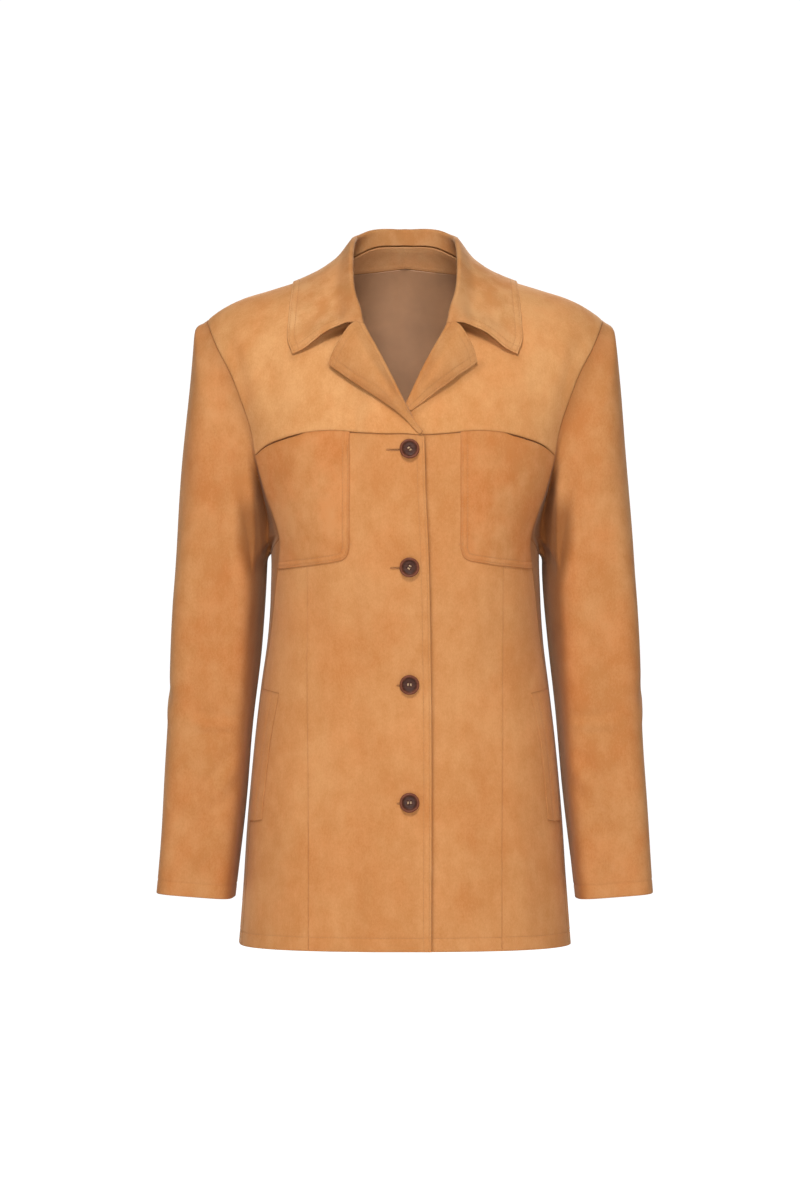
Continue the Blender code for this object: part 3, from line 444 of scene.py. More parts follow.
# Hanging cloth's long waves: how fast each turns across and up, in radians a metre, and its height. Their phases
# come from the piece's seed and from the wave's own number.
DRAPE = table(
    "across up tall",
    (60.8, 14.3, 0.0003), (-36.8, 24.7, 0.00024), (97.6, 9.1, 0.00016), (20.8, -40.3, 0.00018),
)
SEED_PHASE, WAVE_PHASE = 2.1, 1.7
FADE_TURN, FADE_RISE = 5.0, 7.0  # how far from a seam, in degrees, folds reach their full height


def drape(x, z, seed):
    """Slow unevenness of hanging cloth: the sum of four long waves that lean a little."""
    height = np.zeros(np.broadcast(x, z).shape)
    for number, (across, up, tall) in enumerate(zip(*DRAPE.values())):
        height += tall * np.sin(across * x + up * z + seed * SEED_PHASE + number * WAVE_PHASE)
    return height


def seam_fade(spots):
    """From 0 at the side seams, armholes and shoulder seams to 1 a little way off, so that folds end there."""
    turn, rise = np.minimum(spots[..., 0], 360 - spots[..., 0]), spots[..., 1]
    front, back = (np.abs(read(seam, "turn", rise) - turn) for seam in (FRONT_SIDE_SEAM, BACK_SIDE_SEAM))
    return ease(np.minimum(front, back) / FADE_TURN) * ease((90 - rise) / FADE_RISE)


def relief(folds, spots, seed):
    """Folds and unevenness of a front or the back, as height over the smooth body."""
    points = lay(LEFT, spots)
    x, z = points[..., 0], points[..., 2]
    return (creases(folds, np.abs(x) if folds is BACK_FOLDS else x, z) + drape(x, z, seed)) * seam_fade(spots)


def front_relief(side, spots):
    """Relief of a front, with a seed for each side."""
    return relief(FRONT_FOLDS, spots, 1.0 if side == RIGHT else 2.3)


# Puckers beside a seam: their height, and how soon they start and die out beside it.
PUCKER_TALL, PUCKER_START, PUCKER_FADE = 0.00016, 0.003, 0.008
PUCKER_WAVE, PUCKER_BEND, PUCKER_SWELL = 410, 61, 29  # radians a metre up the seam
EDGE_PROUD, EDGE_REACH = 0.0014, 0.008  # how far the upper front's edge stands off, and how far in that reaches
# The yoke's lower edge over the pocket: how far it stands off, from where, and how far up that reaches.
MOUTH_PROUD, MOUTH_START, MOUTH_RAMP, MOUTH_REACH = 0.0017, 0.050, 0.010, 0.014


def seam_pucker(spots, distances):
    """Small puckers beside the seams: a fast wave up them, bent by a slow one and uneven in height."""
    x, z = np.moveaxis(lay(LEFT, spots), -1, 0)[[0, 2]]
    wave = np.sin(z * PUCKER_WAVE + 2.0 * np.sin(z * PUCKER_BEND) + 3 * x)
    wave = wave * (0.6 + 0.4 * np.sin(z * PUCKER_SWELL + x * 11))
    near, far = (ease(d / PUCKER_START) * np.exp(-d / PUCKER_FADE) for d in distances[:2])
    return PUCKER_TALL * wave * (near + far)


def side_up(side, spots, distances):
    """Height of a side panel over the smooth body."""
    points = lay(LEFT, spots)
    return 0.8 * drape(points[..., 1] * 1.5, points[..., 2], 3.0 + side) * seam_fade(spots)


def back_up(spots, distances):
    """Height of the back over the smooth body."""
    return relief(BACK_FOLDS, spots, 4.1) + seam_pucker(spots, distances)


def front_up(side, proud, spots, distances):
    """Height of a lower front over the smooth body: its lap, its folds, the puckers at its seams, and how much
    its first edge stands off."""
    ground = lap(side, spots) + front_relief(side, spots) + seam_pucker(spots, distances)
    return ground + proud * bell(distances[0], EDGE_REACH)


def yoke_up(side, spots, distances):
    """The same for a yoke, whose lower edge stands over the pocket's mouth at its outer part."""
    proud = MOUTH_PROUD * ramp(lay(LEFT, spots)[..., 0], MOUTH_START, MOUTH_RAMP)
    ground = lap(side, spots) + front_relief(side, spots) + seam_pucker(spots, distances)
    return ground + proud * bell(distances[2], MOUTH_REACH)


# How far a lapel's outer edge stands off: at its ends, how much more halfway up, over what length from its foot
# and its outer edge that grows, and the height of its slow waves.
LAPEL_OFF, LAPEL_OFF_MIDDLE, LAPEL_FOOT, LAPEL_GROW, LAPEL_EDGE = 0.0018, 0.0080, 0.008, 0.05, 0.02
# The same for the collar's two ends: how far, how wide a part, and how far that stays from fold and edge. Its
# edge lies closer to the shoulders by COLLAR_CLOSE.
COLLAR_OFF, COLLAR_OFF_WIDE, COLLAR_CLOSE = 0.0085, 0.018, 0.0012
# Where the collar's ends begin to stand off, its fall to lie close, and its waves to show, each as the distance
# from the fold or the end and the length it takes to grow.
OFF_FOLD, OFF_EDGE = (0.005, 0.018), 0.045
CLOSE_FOLD, CLOSE_END, WAVE_FOLD = (0.045, 0.03), (0.02, 0.05), (0.03, 0.02)
FOLDED_WAVE, LAPEL_WAVES, COLLAR_WAVES = 0.0003, (30, 46), (60, 40)


def slow_wave(points, across, up):
    """The slow unevenness of folded cloth, with this many radians a metre across and up."""
    return FOLDED_WAVE * np.sin(points[..., 0] * across + points[..., 2] * up)


def lapel_relief(points, distances):
    """Slow unevenness of a lapel, whose outer edge stands off, most halfway up."""
    share = distances[0] / (distances[0] + distances[1])
    off = LAPEL_OFF + LAPEL_OFF_MIDDLE * np.sin(np.pi * share)
    off = off * ramp(distances[2], LAPEL_FOOT, LAPEL_GROW) * ease(distances[0] / LAPEL_EDGE)
    return slow_wave(points, *LAPEL_WAVES) + off


def collar_relief(points, distances):
    """The collar's two ends stand off where they lie over the lapels, its edge lies close to the shoulders, and
    its fall is a little uneven."""
    end = np.minimum(distances[0], distances[1])
    off = COLLAR_OFF * bell(end, COLLAR_OFF_WIDE) * ramp(distances[2], *OFF_FOLD) * ease(distances[3] / OFF_EDGE)
    close = COLLAR_CLOSE * ramp(distances[2], *CLOSE_FOLD) * ramp(end, *CLOSE_END)
    return off - close + slow_wave(points, *COLLAR_WAVES) * ramp(distances[2], *WAVE_FOLD)


# --- Meshes ---


def mesh_of(name, points, quads):
    """A smooth mesh of four-sided faces."""
    mesh = bpy.data.meshes.new(name)
    mesh.vertices.add(len(points))
    mesh.vertices.foreach_set("co", np.ascontiguousarray(points, np.float32).ravel())
    mesh.loops.add(quads.size)
    mesh.loops.foreach_set("vertex_index", np.ascontiguousarray(quads, np.int32).ravel())
    mesh.polygons.add(len(quads))
    mesh.polygons.foreach_set("loop_start", np.arange(0, quads.size, 4, dtype=np.int32))
    mesh.update(calc_edges=True)
    mesh.validate()
    mesh.shade_smooth()
    return mesh


def grid_quads(index):
    """Faces of a grid of point numbers."""
    corners = index[:-1, :-1], index[1:, :-1], index[1:, 1:], index[:-1, 1:]
    return stacked(*corners).reshape(-1, 4)


def shell_mesh(name, outer, inner, flip, mark=0.0):
    """A closed wall between two grids that share their rims, its outer face outwards. `mark` says how much painted
    shade each point of the outer face carries, from 0 to 1: beside seams and stitches and in the other shaded
    places of the cloth; on a button it is the share of the rim."""
    rim = np.ones(outer.shape[:2], bool)
    rim[1:-1, 1:-1] = False
    outer = np.where(rim[..., None], (outer + inner) / 2, outer)
    top = np.arange(rim.size).reshape(rim.shape)
    low = top.copy()
    low[1:-1, 1:-1] = rim.size + np.arange((~rim).sum()).reshape(low[1:-1, 1:-1].shape)
    quads = np.concatenate([grid_quads(top), grid_quads(low)[:, ::-1]])
    points = np.concatenate([outer.reshape(-1, 3), inner[1:-1, 1:-1].reshape(-1, 3)])
    mesh = mesh_of(name, points, quads[:, ::-1] if flip else quads)
    values = np.zeros(len(points), np.float32)
    values[: rim.size] = np.broadcast_to(mark, rim.shape).ravel()
    # The mark goes into the attribute "seam", which holds painted shade of every kind, not only at seams.
    mesh.attributes.new("seam", "FLOAT", "POINT").data.foreach_set("value", values)
    return mesh


def add_piece(name, mesh, material, replaced=()):
    """A piece in the scene, on the one body, in its material and slot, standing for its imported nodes."""
    mesh.materials.clear()
    mesh.materials.append(material)
    piece = bpy.data.objects.new(name, mesh)
    bpy.context.scene.collection.objects.link(piece)
    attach(piece, "root")
    if replaced:
        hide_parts(*replaced)
    return piece


def sided(name, side):
    """A piece's name with its side."""
    return name + ("_right" if side == RIGHT else "_left")


# --- Stitches ---

STITCH_RINGS, TUBE_SIDES = 4, 6
STITCH_GAP, STITCH_SINK = 0.0006, 0.75  # between stitches, and how deep a thread's middle lies, in radii


def tube_rings(centre, aside, up, radius, sides=TUBE_SIDES):
    """Rings of points round the places of a line: circles of this radius in the plane of two directions."""
    angle = math.tau * np.arange(sides)[:, None] / sides
    way = aside[..., None, :] * np.cos(angle) + up[..., None, :] * np.sin(angle)
    return centre[..., None, :] + way * np.asarray(radius)[..., None, None]


def stitch_points(line, up, pitch, radius):
    """Thread along a line of points: a stitch every pitch, each a small tube whose radius and height follow a
    flattened half circle from end to end, so that both ends dip into the cloth."""
    lengths = run_lengths(line)
    count = max(1, int(lengths[-1] / pitch))
    start = (lengths[-1] - count * pitch) / 2 + pitch * np.arange(count)
    t = stretch(0, 1, STITCH_RINGS - 1)
    at = start[:, None] + STITCH_GAP / 2 + (pitch - STITCH_GAP) * t
    centre, out = at_lengths(at, lengths, line), unit(at_lengths(at, lengths, up))
    run = unit(at_lengths(at, lengths, tangents(line, 0)))
    swell = np.sqrt(np.sqrt(np.clip(1 - (2 * t - 1) ** 4, 0.04, 1)))
    centre = centre + out * (radius * (swell - STITCH_SINK))[:, None]
    return tube_rings(centre, np.cross(run, out), out, radius * swell)


def tubes_mesh(name, tubes):
    """Closed tubes as one mesh, each a grid of rings with its two ends closed by a pair of faces."""
    count, rings, sides = tubes.shape[:3]
    ring = np.arange(rings * sides).reshape(rings, sides)
    faces = grid_quads(np.concatenate([ring, ring[:, :1]], axis=1))
    caps = np.array([ring[0, [0, 1, 2, 3]], ring[0, [0, 3, 4, 5]], ring[-1, [3, 2, 1, 0]], ring[-1, [5, 4, 3, 0]]])
    one = np.concatenate([faces, caps])
    quads = (one[None] + rings * sides * np.arange(count)[:, None, None]).reshape(-1, 4)
    return mesh_of(name, tubes.reshape(-1, 3), quads)


# --- Panels of the body ---

FINE = 6  # base lines for each stretch of the pattern's tables
LOW, CHEST, YOKE, BACK_ARM = 8 * FINE, 4 * FINE, 8 * FINE, 8 * FINE
CENTRE, SIDE, UNDERARM, SHOULDER = 5 * FINE, 4 * FINE, 4 * FINE, 5 * FINE


def seam_spots(rows, rises):
    """Spots along a seam whose turn is tabled by rise."""
    return stacked(read(rows, "turn", rises), rises)


def yoke_seam(x):
    """Spots along the yoke's seam."""
    return front_spot(x, read(YOKE_SEAM, "z", x))


def yoke_rise(end):
    """Rise of one of the yoke seam's ends."""
    return yoke_seam(np.array(YOKE_ENDS[end]))[1]


def front_rises(end):
    """Rises up a front panel from the hem to the yoke seam, beside one of its ends."""
    return joined(stretch(-90, 0, LOW), stretch(0, yoke_rise(end), CHEST))


def princess_spots():
    """Spots up the seam between the two lower front panels."""
    rises = front_rises(1)
    return spot(read(PRINCESS_SEAM, "x", rises), rises)


def level_spots(first_turn, last_turn, rise, steps):
    """Spots round the body at one rise."""
    return stacked(stretch(first_turn, last_turn, steps), np.full(steps + 1, float(rise)))


def front_centre_grid():
    """From the front edge to the princess seam, under the yoke."""
    rises = front_rises(0)
    edge = spot(read(FRONT_EDGE, "x", rises), rises)
    hem_x = stretch(read(FRONT_EDGE, "x", -90), read(PRINCESS_SEAM, "x", -90), CENTRE)
    return coons(edge, princess_spots(), spot(hem_x, -90), yoke_seam(stretch(*YOKE_ENDS[:2], CENTRE)))


def front_side_grid():
    """From the princess seam to the side seam and the lower armhole, under the yoke."""
    princess, outer = princess_spots(), seam_spots(FRONT_SIDE_SEAM, front_rises(2))
    top = yoke_seam(stretch(*YOKE_ENDS[1:], SIDE))
    top[-1] = outer[-1]
    return coons(princess, outer, level_spots(princess[0, 0], outer[0, 0], -90, SIDE), top)


def neck_spots(corners):
    """Spots round the front of the neck hole, at fractional corners."""
    return spot(*columns(NECK_FRONT, corners))


def yoke_grid():
    """Up from the yoke seam and in along the shoulder seam to the neck hole."""
    neck = neck_spots(stretch(0, 8, YOKE))
    arm = seam_spots(FRONT_SIDE_SEAM, stretch(yoke_rise(2), 90, YOKE))
    cols = joined(stretch(*YOKE_ENDS[:2], CENTRE), stretch(*YOKE_ENDS[1:], SIDE))
    low = yoke_seam(cols)
    neck[0], low[-1] = low[0], arm[0]
    neck_x, arm_x = NECK_FRONT["x"][-1], body(*arm[-1])[0]
    shoulder = spot(neck_x + (arm_x - neck_x) * (cols - cols[0]) / (cols[-1] - cols[0]), 90)
    return coons(neck, arm, low, shoulder)


def underarm_spots(turns):
    """Spots along the bottom of the armhole."""
    return stacked(turns, read(ARMHOLE_BOTTOM, "rise", turns))


def side_grid():
    """Under the arm, between the side seam and the back seam."""
    rises = stretch(-90, 0, LOW)
    front, back = seam_spots(FRONT_SIDE_SEAM, rises), seam_spots(BACK_SIDE_SEAM, rises)
    top = underarm_spots(stretch(*ARMHOLE_BOTTOM["turn"][[0, -1]], UNDERARM))
    return coons(front, back, level_spots(front[0, 0], back[0, 0], -90, UNDERARM), top)


def behind(x, arch):
    """Spots behind the shoulder, also on its very top."""
    return spot(x, np.maximum(arch, 90 + 1e-6))


def neck_back_spots(corners):
    """Spots round the back of the neck hole, from the shoulder seam (0) to the centre back (4)."""
    return behind(*columns(NECK_BACK, corners))


def back_grid():
    """Between the back seams, up to the shoulder seams and the neck hole."""
    left = seam_spots(BACK_SIDE_SEAM, joined(stretch(-90, 0, LOW), stretch(0, 90, BACK_ARM)))
    shoulder = behind(stretch(body(*left[-1])[0], NECK_BACK["x"][0], SHOULDER), 90)
    top = joined(shoulder, neck_back_spots(stretch(0, 4, 4 * FINE)))
    top[0] = left[-1]
    right = other_half(left)
    hem = level_spots(left[0, 0], right[0, 0], -90, 2 * (len(top) - 1))
    return coons(left, right, hem, joined(top, other_half(top[::-1])))


# How stitches pull the body's cloth in, and how dark the painted shade makes it beside a seam and along a
# row of stitches.
PULL, SEAM_SHADE, STITCH_SHADE, STITCH_DARK = 0.0004, 0.0009, 0.0008, 0.09
HEM_DEEP, HEM_END, HEM_START = 0.036, 0.003, 0.0012  # the turned-up hem, and how softly it ends and starts
NO_TRIMS = ((0, 0),) * 4


def edge_profile(distances, kinds):
    """How far the outer face drops and the inner face rises at the rims, and the troughs of the stitches."""
    drop, lift, pulled = 0.0, 0.0, 0.0
    for distance, edge in zip(distances, map(EDGES.get, kinds)):
        part = roll(distance, edge.radius) / edge.radius
        drop, lift = np.maximum(drop, edge.deep * part), np.maximum(lift, (WALL - edge.deep) * part)
        for at in edge.stitches:
            pulled = pulled + groove(distance, at, PULL)
    return drop, lift, pulled


def edge_marks(distances, kinds):
    """Painted shade: how dark the cloth is made beside its seams and rims and along its stitches."""
    mark = 0.0
    for distance, edge in zip(distances, map(EDGES.get, kinds)):
        mark = np.maximum(mark, edge.dark * np.exp(-distance / SEAM_SHADE))
        for at in edge.stitches:
            mark = np.maximum(mark, STITCH_DARK * bell(distance - at, STITCH_SHADE))
    return mark


def sewn_lines(outer, ups, kinds, trims):
    """The rows of stitches along the edges of a finished grid, shortened at both ends by `trims` metres."""
    lines = []
    for k, edge in enumerate(map(EDGES.get, kinds)):
        for at in edge.stitches:
            number = edge.lines.index(at)
            index = number if k in (0, 2) else -1 - number
            line, up = (outer[index], ups[index]) if k < 2 else (outer[:, index], ups[:, index])
            lengths = run_lengths(line)
            low, high = trims[k]
            keep = (lengths >= low) & (lengths <= lengths[-1] - high)
            lines.append((line[keep], up[keep]))
    return lines


# Where panels carry painted shade and shadow: towards the armhole from a level up, in a line beside the other
# front's edge, and along the collar and the lapel, by the share FAR_LESS less towards the shoulder.
ARM_DARK, ARM_LEVEL, ARM_OVER = 0.8, -0.52, 0.17
EDGE_DARK, EDGE_OUT, EDGE_WIDE = 0.55, 0.0006, 0.0018
COLLAR_DARK, COLLAR_DARK_WIDE, LAPEL_DARK, LAPEL_DARK_WIDE = 1.3, 0.0055, 0.35, 0.0045
FAR_LESS, FAR_FROM, FAR_OVER = 0.75, 0.060, 0.035


def arm_shade(spots, ground):
    """Painted shade on a side panel, darker towards the armhole, where the sleeve hangs over it."""
    return ARM_DARK * ramp(ground[..., 2], ARM_LEVEL, ARM_OVER)


def edge_shadow(spots, ground):
    """The painted shadow that the other front's edge casts on the under front, in a line beside that edge."""
    from_edge = ground[..., 0] + read(FRONT_EDGE, "x", spots[..., 1])
    return EDGE_DARK * bell(from_edge - EDGE_OUT, EDGE_WIDE)


def under_folds(spots, ground):
    """A yoke is shaded along the edges of the collar and the lapel that lie on it, most where the two meet."""
    flat = stacked(np.abs(ground[..., 0]), ground[..., 2])
    ends = (COLLAR_END["x"], COLLAR_END["arch"]), (LAPEL["edge_x"], LAPEL["edge_arch"])
    to_collar, to_lapel = (line_distance(flat, lay(LEFT, spot(*end))[:, [0, 2]]) for end in ends)
    fade = 1 - FAR_LESS * ramp(flat[..., 0], FAR_FROM, FAR_OVER)
    beside_collar = COLLAR_DARK * fade * bell(to_collar, COLLAR_DARK_WIDE)
    return np.maximum(beside_collar, LAPEL_DARK * bell(to_lapel, LAPEL_DARK_WIDE))


# The panels with a painted shade of their own.
SHADES = {
    "side_body_right": arm_shade,
    "side_body_left": arm_shade,
    "front_centre_left": edge_shadow,
    "front_yoke_right": under_folds,
    "front_yoke_left": under_folds,
}


def turned_up(distance, thick):
    """Thickness of the hem's turned-up cloth, from the hem's fold up to its depth."""
    return thick * ease((HEM_DEEP - distance) / HEM_END) * ease(distance / HEM_START)


def cloth_panel(name, side, base, kinds, counts, up_at, trims=NO_TRIMS, hem_fold=0.0):
    """A panel of the body with rolled rims: its mesh, and its rows of stitches as (points, normals)."""
    spots = regrid(base, kinds, counts, partial(lay, LEFT))
    distances = edge_distances(lay(LEFT, spots))
    drop, lift, pulled = edge_profile(distances, kinds)
    ups = normal(side * spots[..., 0], spots[..., 1])
    base_up = up_at(spots, distances) + pulled
    ground = lay(side, spots)
    outer = ground + ups * (base_up - drop)[..., None]
    inner = ground + ups * (base_up - WALL + lift - turned_up(distances[2], hem_fold))[..., None]
    marks = edge_marks(distances, kinds)
    if name in SHADES:
        marks = np.maximum(marks, SHADES[name](spots, ground))
    return shell_mesh(name, outer, inner, side == RIGHT, marks), sewn_lines(outer, ups, kinds, trims)


# --- Collar and lapels ---

# The collar by stations from the centre back (0) to the gorge (7): the middle of its fold and how far that
# stands over the body, and its outer edge.
COLLAR = table(
    "station fold_x fold_arch fold_up edge_x edge_arch",
    (0.0, 0.0, 106.8, 0.0129, 0.0, 127.6), (1.0, 0.0235, 104.0, 0.0133, 0.044, 122.6),
    (2.0, 0.0385, 98.6, 0.0108, 0.083, 110.2), (3.0, 0.0448, 93.6, 0.0098, 0.106, 101.5),
    (4.0, 0.0474, 89.2, 0.009, 0.115, 95.0), (5.0, 0.0534, 72.0, 0.0048, 0.1178, 74.0),
    (6.0, 0.0523, 56.0, 0.0033, 0.1203, 56.0), (6.5, 0.0476, 49.6, 0.002, 0.1207, 49.6),
    (7.0, 0.0443, 44.8, 0.0012, 0.1152, 44.4),
)
# The collar's front end, from the fold to the tip.
COLLAR_END = table(
    "across x arch",
    (0.0, 0.0443, 44.9), (0.1, 0.05, 45.8), (0.33, 0.068, 47.4), (0.52, 0.0818, 47.1), (0.65, 0.0906, 46.3),
    (0.83, 0.1026, 45.0), (1.0, 0.1152, 44.4),
)
EDGE_UP = 0.0026
FALL_POWER = 1.4
SEAM_TRIM = 0.00018
CLEAR_FROM, CLEAR_OVER = 0.0012, 0.002  # how high the fold stands where the neck seam starts to clear the body
ARCH_SCALE = 0.0035  # metres that a degree over the shoulder stands for, where a collar is spread out flat
STAND_STEPS, FOLD_STEPS, FALL_STEPS, LAPEL_STEPS = 14, 12, 40, 36
# The lapel by stations from the break (0) to the gorge (5): its outer edge, how far the middle of that stands
# over the body, and the radius of the fold to the middle of the cloth.
LAPEL = table(
    "station edge_x edge_arch edge_up fold",
    (0.4, -0.015, 18.5, 0.0014, 0.0011), (1.0, -0.0078, 19.7, 0.0014, 0.0011),
    (1.5, 0.001, 21.4, 0.0014, 0.0011), (2.0, 0.01, 23.0, 0.0014, 0.0011),
    (2.5, 0.0246, 25.3, 0.0016, 0.0014), (3.0, 0.0382, 28.0, 0.0021, 0.0018),
    (3.5, 0.0513, 31.2, 0.0026, 0.002), (4.0, 0.0634, 34.7, 0.0026, 0.002),
    (4.5, 0.0734, 37.4, 0.0026, 0.002), (5.0, 0.0778, 38.9, 0.0026, 0.002),
)
# The left lapel, which lies under the other, is rolled a little further in.
UNDER_LAPEL_IN = 0.0046
UNDER_LAPEL = table(
    "station edge_x edge_arch",
    (2.0, 0.0063, 23.1), (2.5, 0.0214, 25.5), (3.0, 0.0343, 28.1), (3.5, 0.0468, 31.1), (4.0, 0.0585, 34.6),
    (4.5, 0.0679, 37.3), (5.0, 0.0732, 38.8),
)
FOLD_SHIFT = 0.0034  # how far the lapel's fold reaches in past the neck hole's edge
LAPEL_TOP = table(
    "across x arch",
    (0.0, 0.0443, 44.7), (0.2, 0.0487, 45.75), (0.5, 0.0616, 43.4), (0.9, 0.0748, 40.2), (1.0, 0.0778, 38.9),
)
COLLAR_WALL = 0.0018
LAPEL_TURN = 170  # degrees that the lapel's cloth turns over in its fold
# How much painted shade lies on the collar's stand and how softly it ends, and how far stitches pull folded cloth
# in.
STAND_DARK, STAND_SOFT, FOLDED_PULL = 0.36, 0.012, 0.00022


def gorge_run():
    """Direction of the neck seam at the gorge, which the collar's and the lapels' ends share."""
    seam = lay(LEFT, neck_spots(np.array([GORGE - 0.5, GORGE + 0.5])), -WALL / 2)
    return unit(seam[0] - seam[1])


def collar_half():
    """Points through the middle of the collar's left half: by stations, from the neck seam up the stand, round
    the fold and down to the outer edge."""
    stations = joined(stretch(0, 6, 48), stretch(6, 7, 16))
    hole = np.concatenate([neck_back_spots(4 - stations[stations < 4]), neck_spots(12 - stations[stations >= 4])])
    fold_x, fold_arch, fold_up, edge_x, edge_arch = columns(COLLAR, stations)
    rim = lay(LEFT, hole, -WALL / 2)
    clear = (WALL / 2 + 2 * SEAM_TRIM) * ramp(fold_up, CLEAR_FROM, CLEAR_OVER)
    rim = rim + unit(np.cross(tangents(rim, 0), normal(hole[:, 0], hole[:, 1]))) * clear[:, None]
    foot = spot(fold_x, fold_arch)
    up = normal(foot[:, 0], foot[:, 1])
    centre = body(foot[:, 0], foot[:, 1]) + up * fold_up[:, None]
    run = tangents(centre, 0)
    run[0], run[-1] = (1, 0, 0), gorge_run()
    inward = unit(np.cross(run, up))
    radius = LAPEL["fold"][-1]
    drop = rim - centre
    aside, above = (drop * inward).sum(axis=1), (drop * up).sum(axis=1)
    start = np.arctan2(aside, -above) + np.arccos(np.clip(radius / np.hypot(aside, above), 0, 1))
    turns = start + (math.pi - start) * stretch(0, 1, FOLD_STEPS)[:, None]
    arc = centre + radius * (inward * np.sin(turns)[..., None] - up * np.cos(turns)[..., None])
    across = stretch(0, 1, FALL_STEPS)
    scale = np.array([1, ARCH_SCALE])
    inner, edge = stacked(fold_x, fold_arch), stacked(edge_x, edge_arch)
    end = stacked(*columns(COLLAR_END, across))
    end[0], end[-1] = inner[-1], edge[-1]
    middle_back = inner[0] + (edge[0] - inner[0]) * across[:, None]
    flat = coons(inner * scale, edge * scale, middle_back * scale, end * scale) / scale
    raised = EDGE_UP + (fold_up + radius - EDGE_UP) * (1 - across[:, None]) ** FALL_POWER
    fall = lay(LEFT, spot(flat[..., 0], flat[..., 1]), raised)
    stand = rim + (arc[0] - rim) * stretch(0, 1, STAND_STEPS)[:, None, None]
    return np.concatenate([stand, arc[1:], fall[1:]]).swapaxes(0, 1)


def lapel_middle(side):
    """Points through the middle of a lapel: by stations, from the neck hole's edge round the fold and out."""
    stations = stretch(LAPEL["station"][0] if side == RIGHT else UNDER_LAPEL["station"][0], GORGE, 60)
    edge_x, edge_arch, edge_up, fold = columns(LAPEL, stations)
    if side == LEFT:
        edge_x, edge_arch = columns(UNDER_LAPEL, stations)
    hole = neck_spots(stations)
    raised = lap(side, hole)
    rim = lay(side, hole, raised - WALL / 2)
    out = normal(side * hole[:, 0], hole[:, 1])
    run = tangents(rim, 0)
    run[-1] = -gorge_run() * [side, 1, 1]
    away = side * unit(np.cross(run, out))
    radius = fold[:, None]
    centre = rim - away * (FOLD_SHIFT - WALL / 2 - radius) + out * radius
    angles = np.radians(stretch(0, LAPEL_TURN, FOLD_STEPS))[:, None, None]
    arc = centre - radius * (out * np.cos(angles) + away * np.sin(angles))
    feet = centre - out * (raised[:, None] + radius - WALL / 2)
    inner, edge = front_spot(side * feet[:, 0], feet[:, 2]), spot(edge_x, edge_arch)
    across = stretch(0, 1, LAPEL_STEPS)
    top_x, top_arch = columns(LAPEL_TOP, across)
    top = spot(top_x - (UNDER_LAPEL_IN * across**2 if side == LEFT else 0.0), top_arch)
    top[0], top[-1] = inner[-1], edge[-1]
    start = inner[0] + (edge[0] - inner[0]) * across[:, None]
    flat = coons(inner, edge, start, top)
    fold_up = 2 * fold - WALL / 2
    up = fold_up + (edge_up - fold_up) * ease(across)[:, None]
    lying = lay(side, flat, up + lap(side, flat))
    tuck = rim + (arc[0] - rim) * stretch(0, 1, 2)[:, None, None]
    return np.concatenate([tuck[:-1], arc, lying[1:]])


def folded_cloth(name, middle, kinds, counts, side, trims, relief_at, thick=COLLAR_WALL, stand=0.0):
    """A wall of cloth on both sides of a grid of points through its middle, with rounded rims. Its cloth carries
    painted shade up to the distance `stand` from its sewn edge, on the stand inside the neck."""
    middle = regrid(middle, kinds, counts)
    distances = edge_distances(middle)
    ups = side * grid_normals(middle)
    half, pulled = thick / 2, 0.0
    for distance, edge in zip(distances, map(EDGES.get, kinds)):
        half = np.minimum(half, thick / 2 * (1 - roll(distance, edge.radius) / edge.radius))
        for at in edge.stitches:
            pulled = pulled + groove(distance, at, FOLDED_PULL)
    shift = relief_at(middle, distances)
    outer = middle + ups * (half + pulled + shift)[..., None]
    inner = middle - ups * (half - shift)[..., None]
    mark = np.maximum(edge_marks(distances, kinds), STAND_DARK * ease((stand - distances[2]) / STAND_SOFT))
    return shell_mesh(name, outer, inner, side == RIGHT, mark), sewn_lines(outer, ups, kinds, trims)


# --- Sleeves ---

# Sleeve rings: height at the axis, distance of the axis out and forward, half width and half depth, and how
# much of the half width the inside gives up towards the front.
SLEEVE = table(
    "level out forward wide deep slant",
    (-0.653, 0.2183, 0.022, 0.0402, 0.048, 0.08), (-0.614, 0.2147, 0.018, 0.041, 0.05, 0.1),
    (-0.539, 0.2082, 0.011, 0.043, 0.054, 0.14), (-0.463, 0.203, 0.005, 0.0442, 0.057, 0.19),
    (-0.387, 0.1972, 0.0, 0.0472, 0.06, 0.25), (-0.312, 0.1926, -0.002, 0.0479, 0.062, 0.28),
    (-0.236, 0.1902, -0.001, 0.0454, 0.063, 0.26), (-0.16, 0.1868, 0.0, 0.0422, 0.06, 0.2),
    (-0.1, 0.185, 0.0, 0.0383, 0.05, 0.1), (-0.05, 0.1845, 0.0, 0.0345, 0.03, 0.0),
)
CUFF_TILT, SLEEVE_SQUARE = 0.078, 1.6
SQUARE_FROM, SQUARE_OVER, TILT_FROM, TILT_OVER = -0.215, 0.12, -0.312, 0.343
ARMHOLE_CENTRE, ARMHOLE_REACH = (0.004, -0.168), (0.062, 0.118)
# The armhole by columns: from the shoulder seam (0) down the yoke (8) and the front (12), under the arm (16)
# and up the back (24). The sleeve's seams leave it at these columns, and reach these swings lower down.
YOKE_COL, FRONT_COL, UNDER_COL, ARMHOLE_COLS, COL_STEPS = 8, 12, 16, 24, 4
FRONT_SEAM_COL, BACK_SEAM_COL = 14, 19
FRONT_SLEEVE_SEAM, BACK_SLEEVE_SEAM = 172.0, 250.0
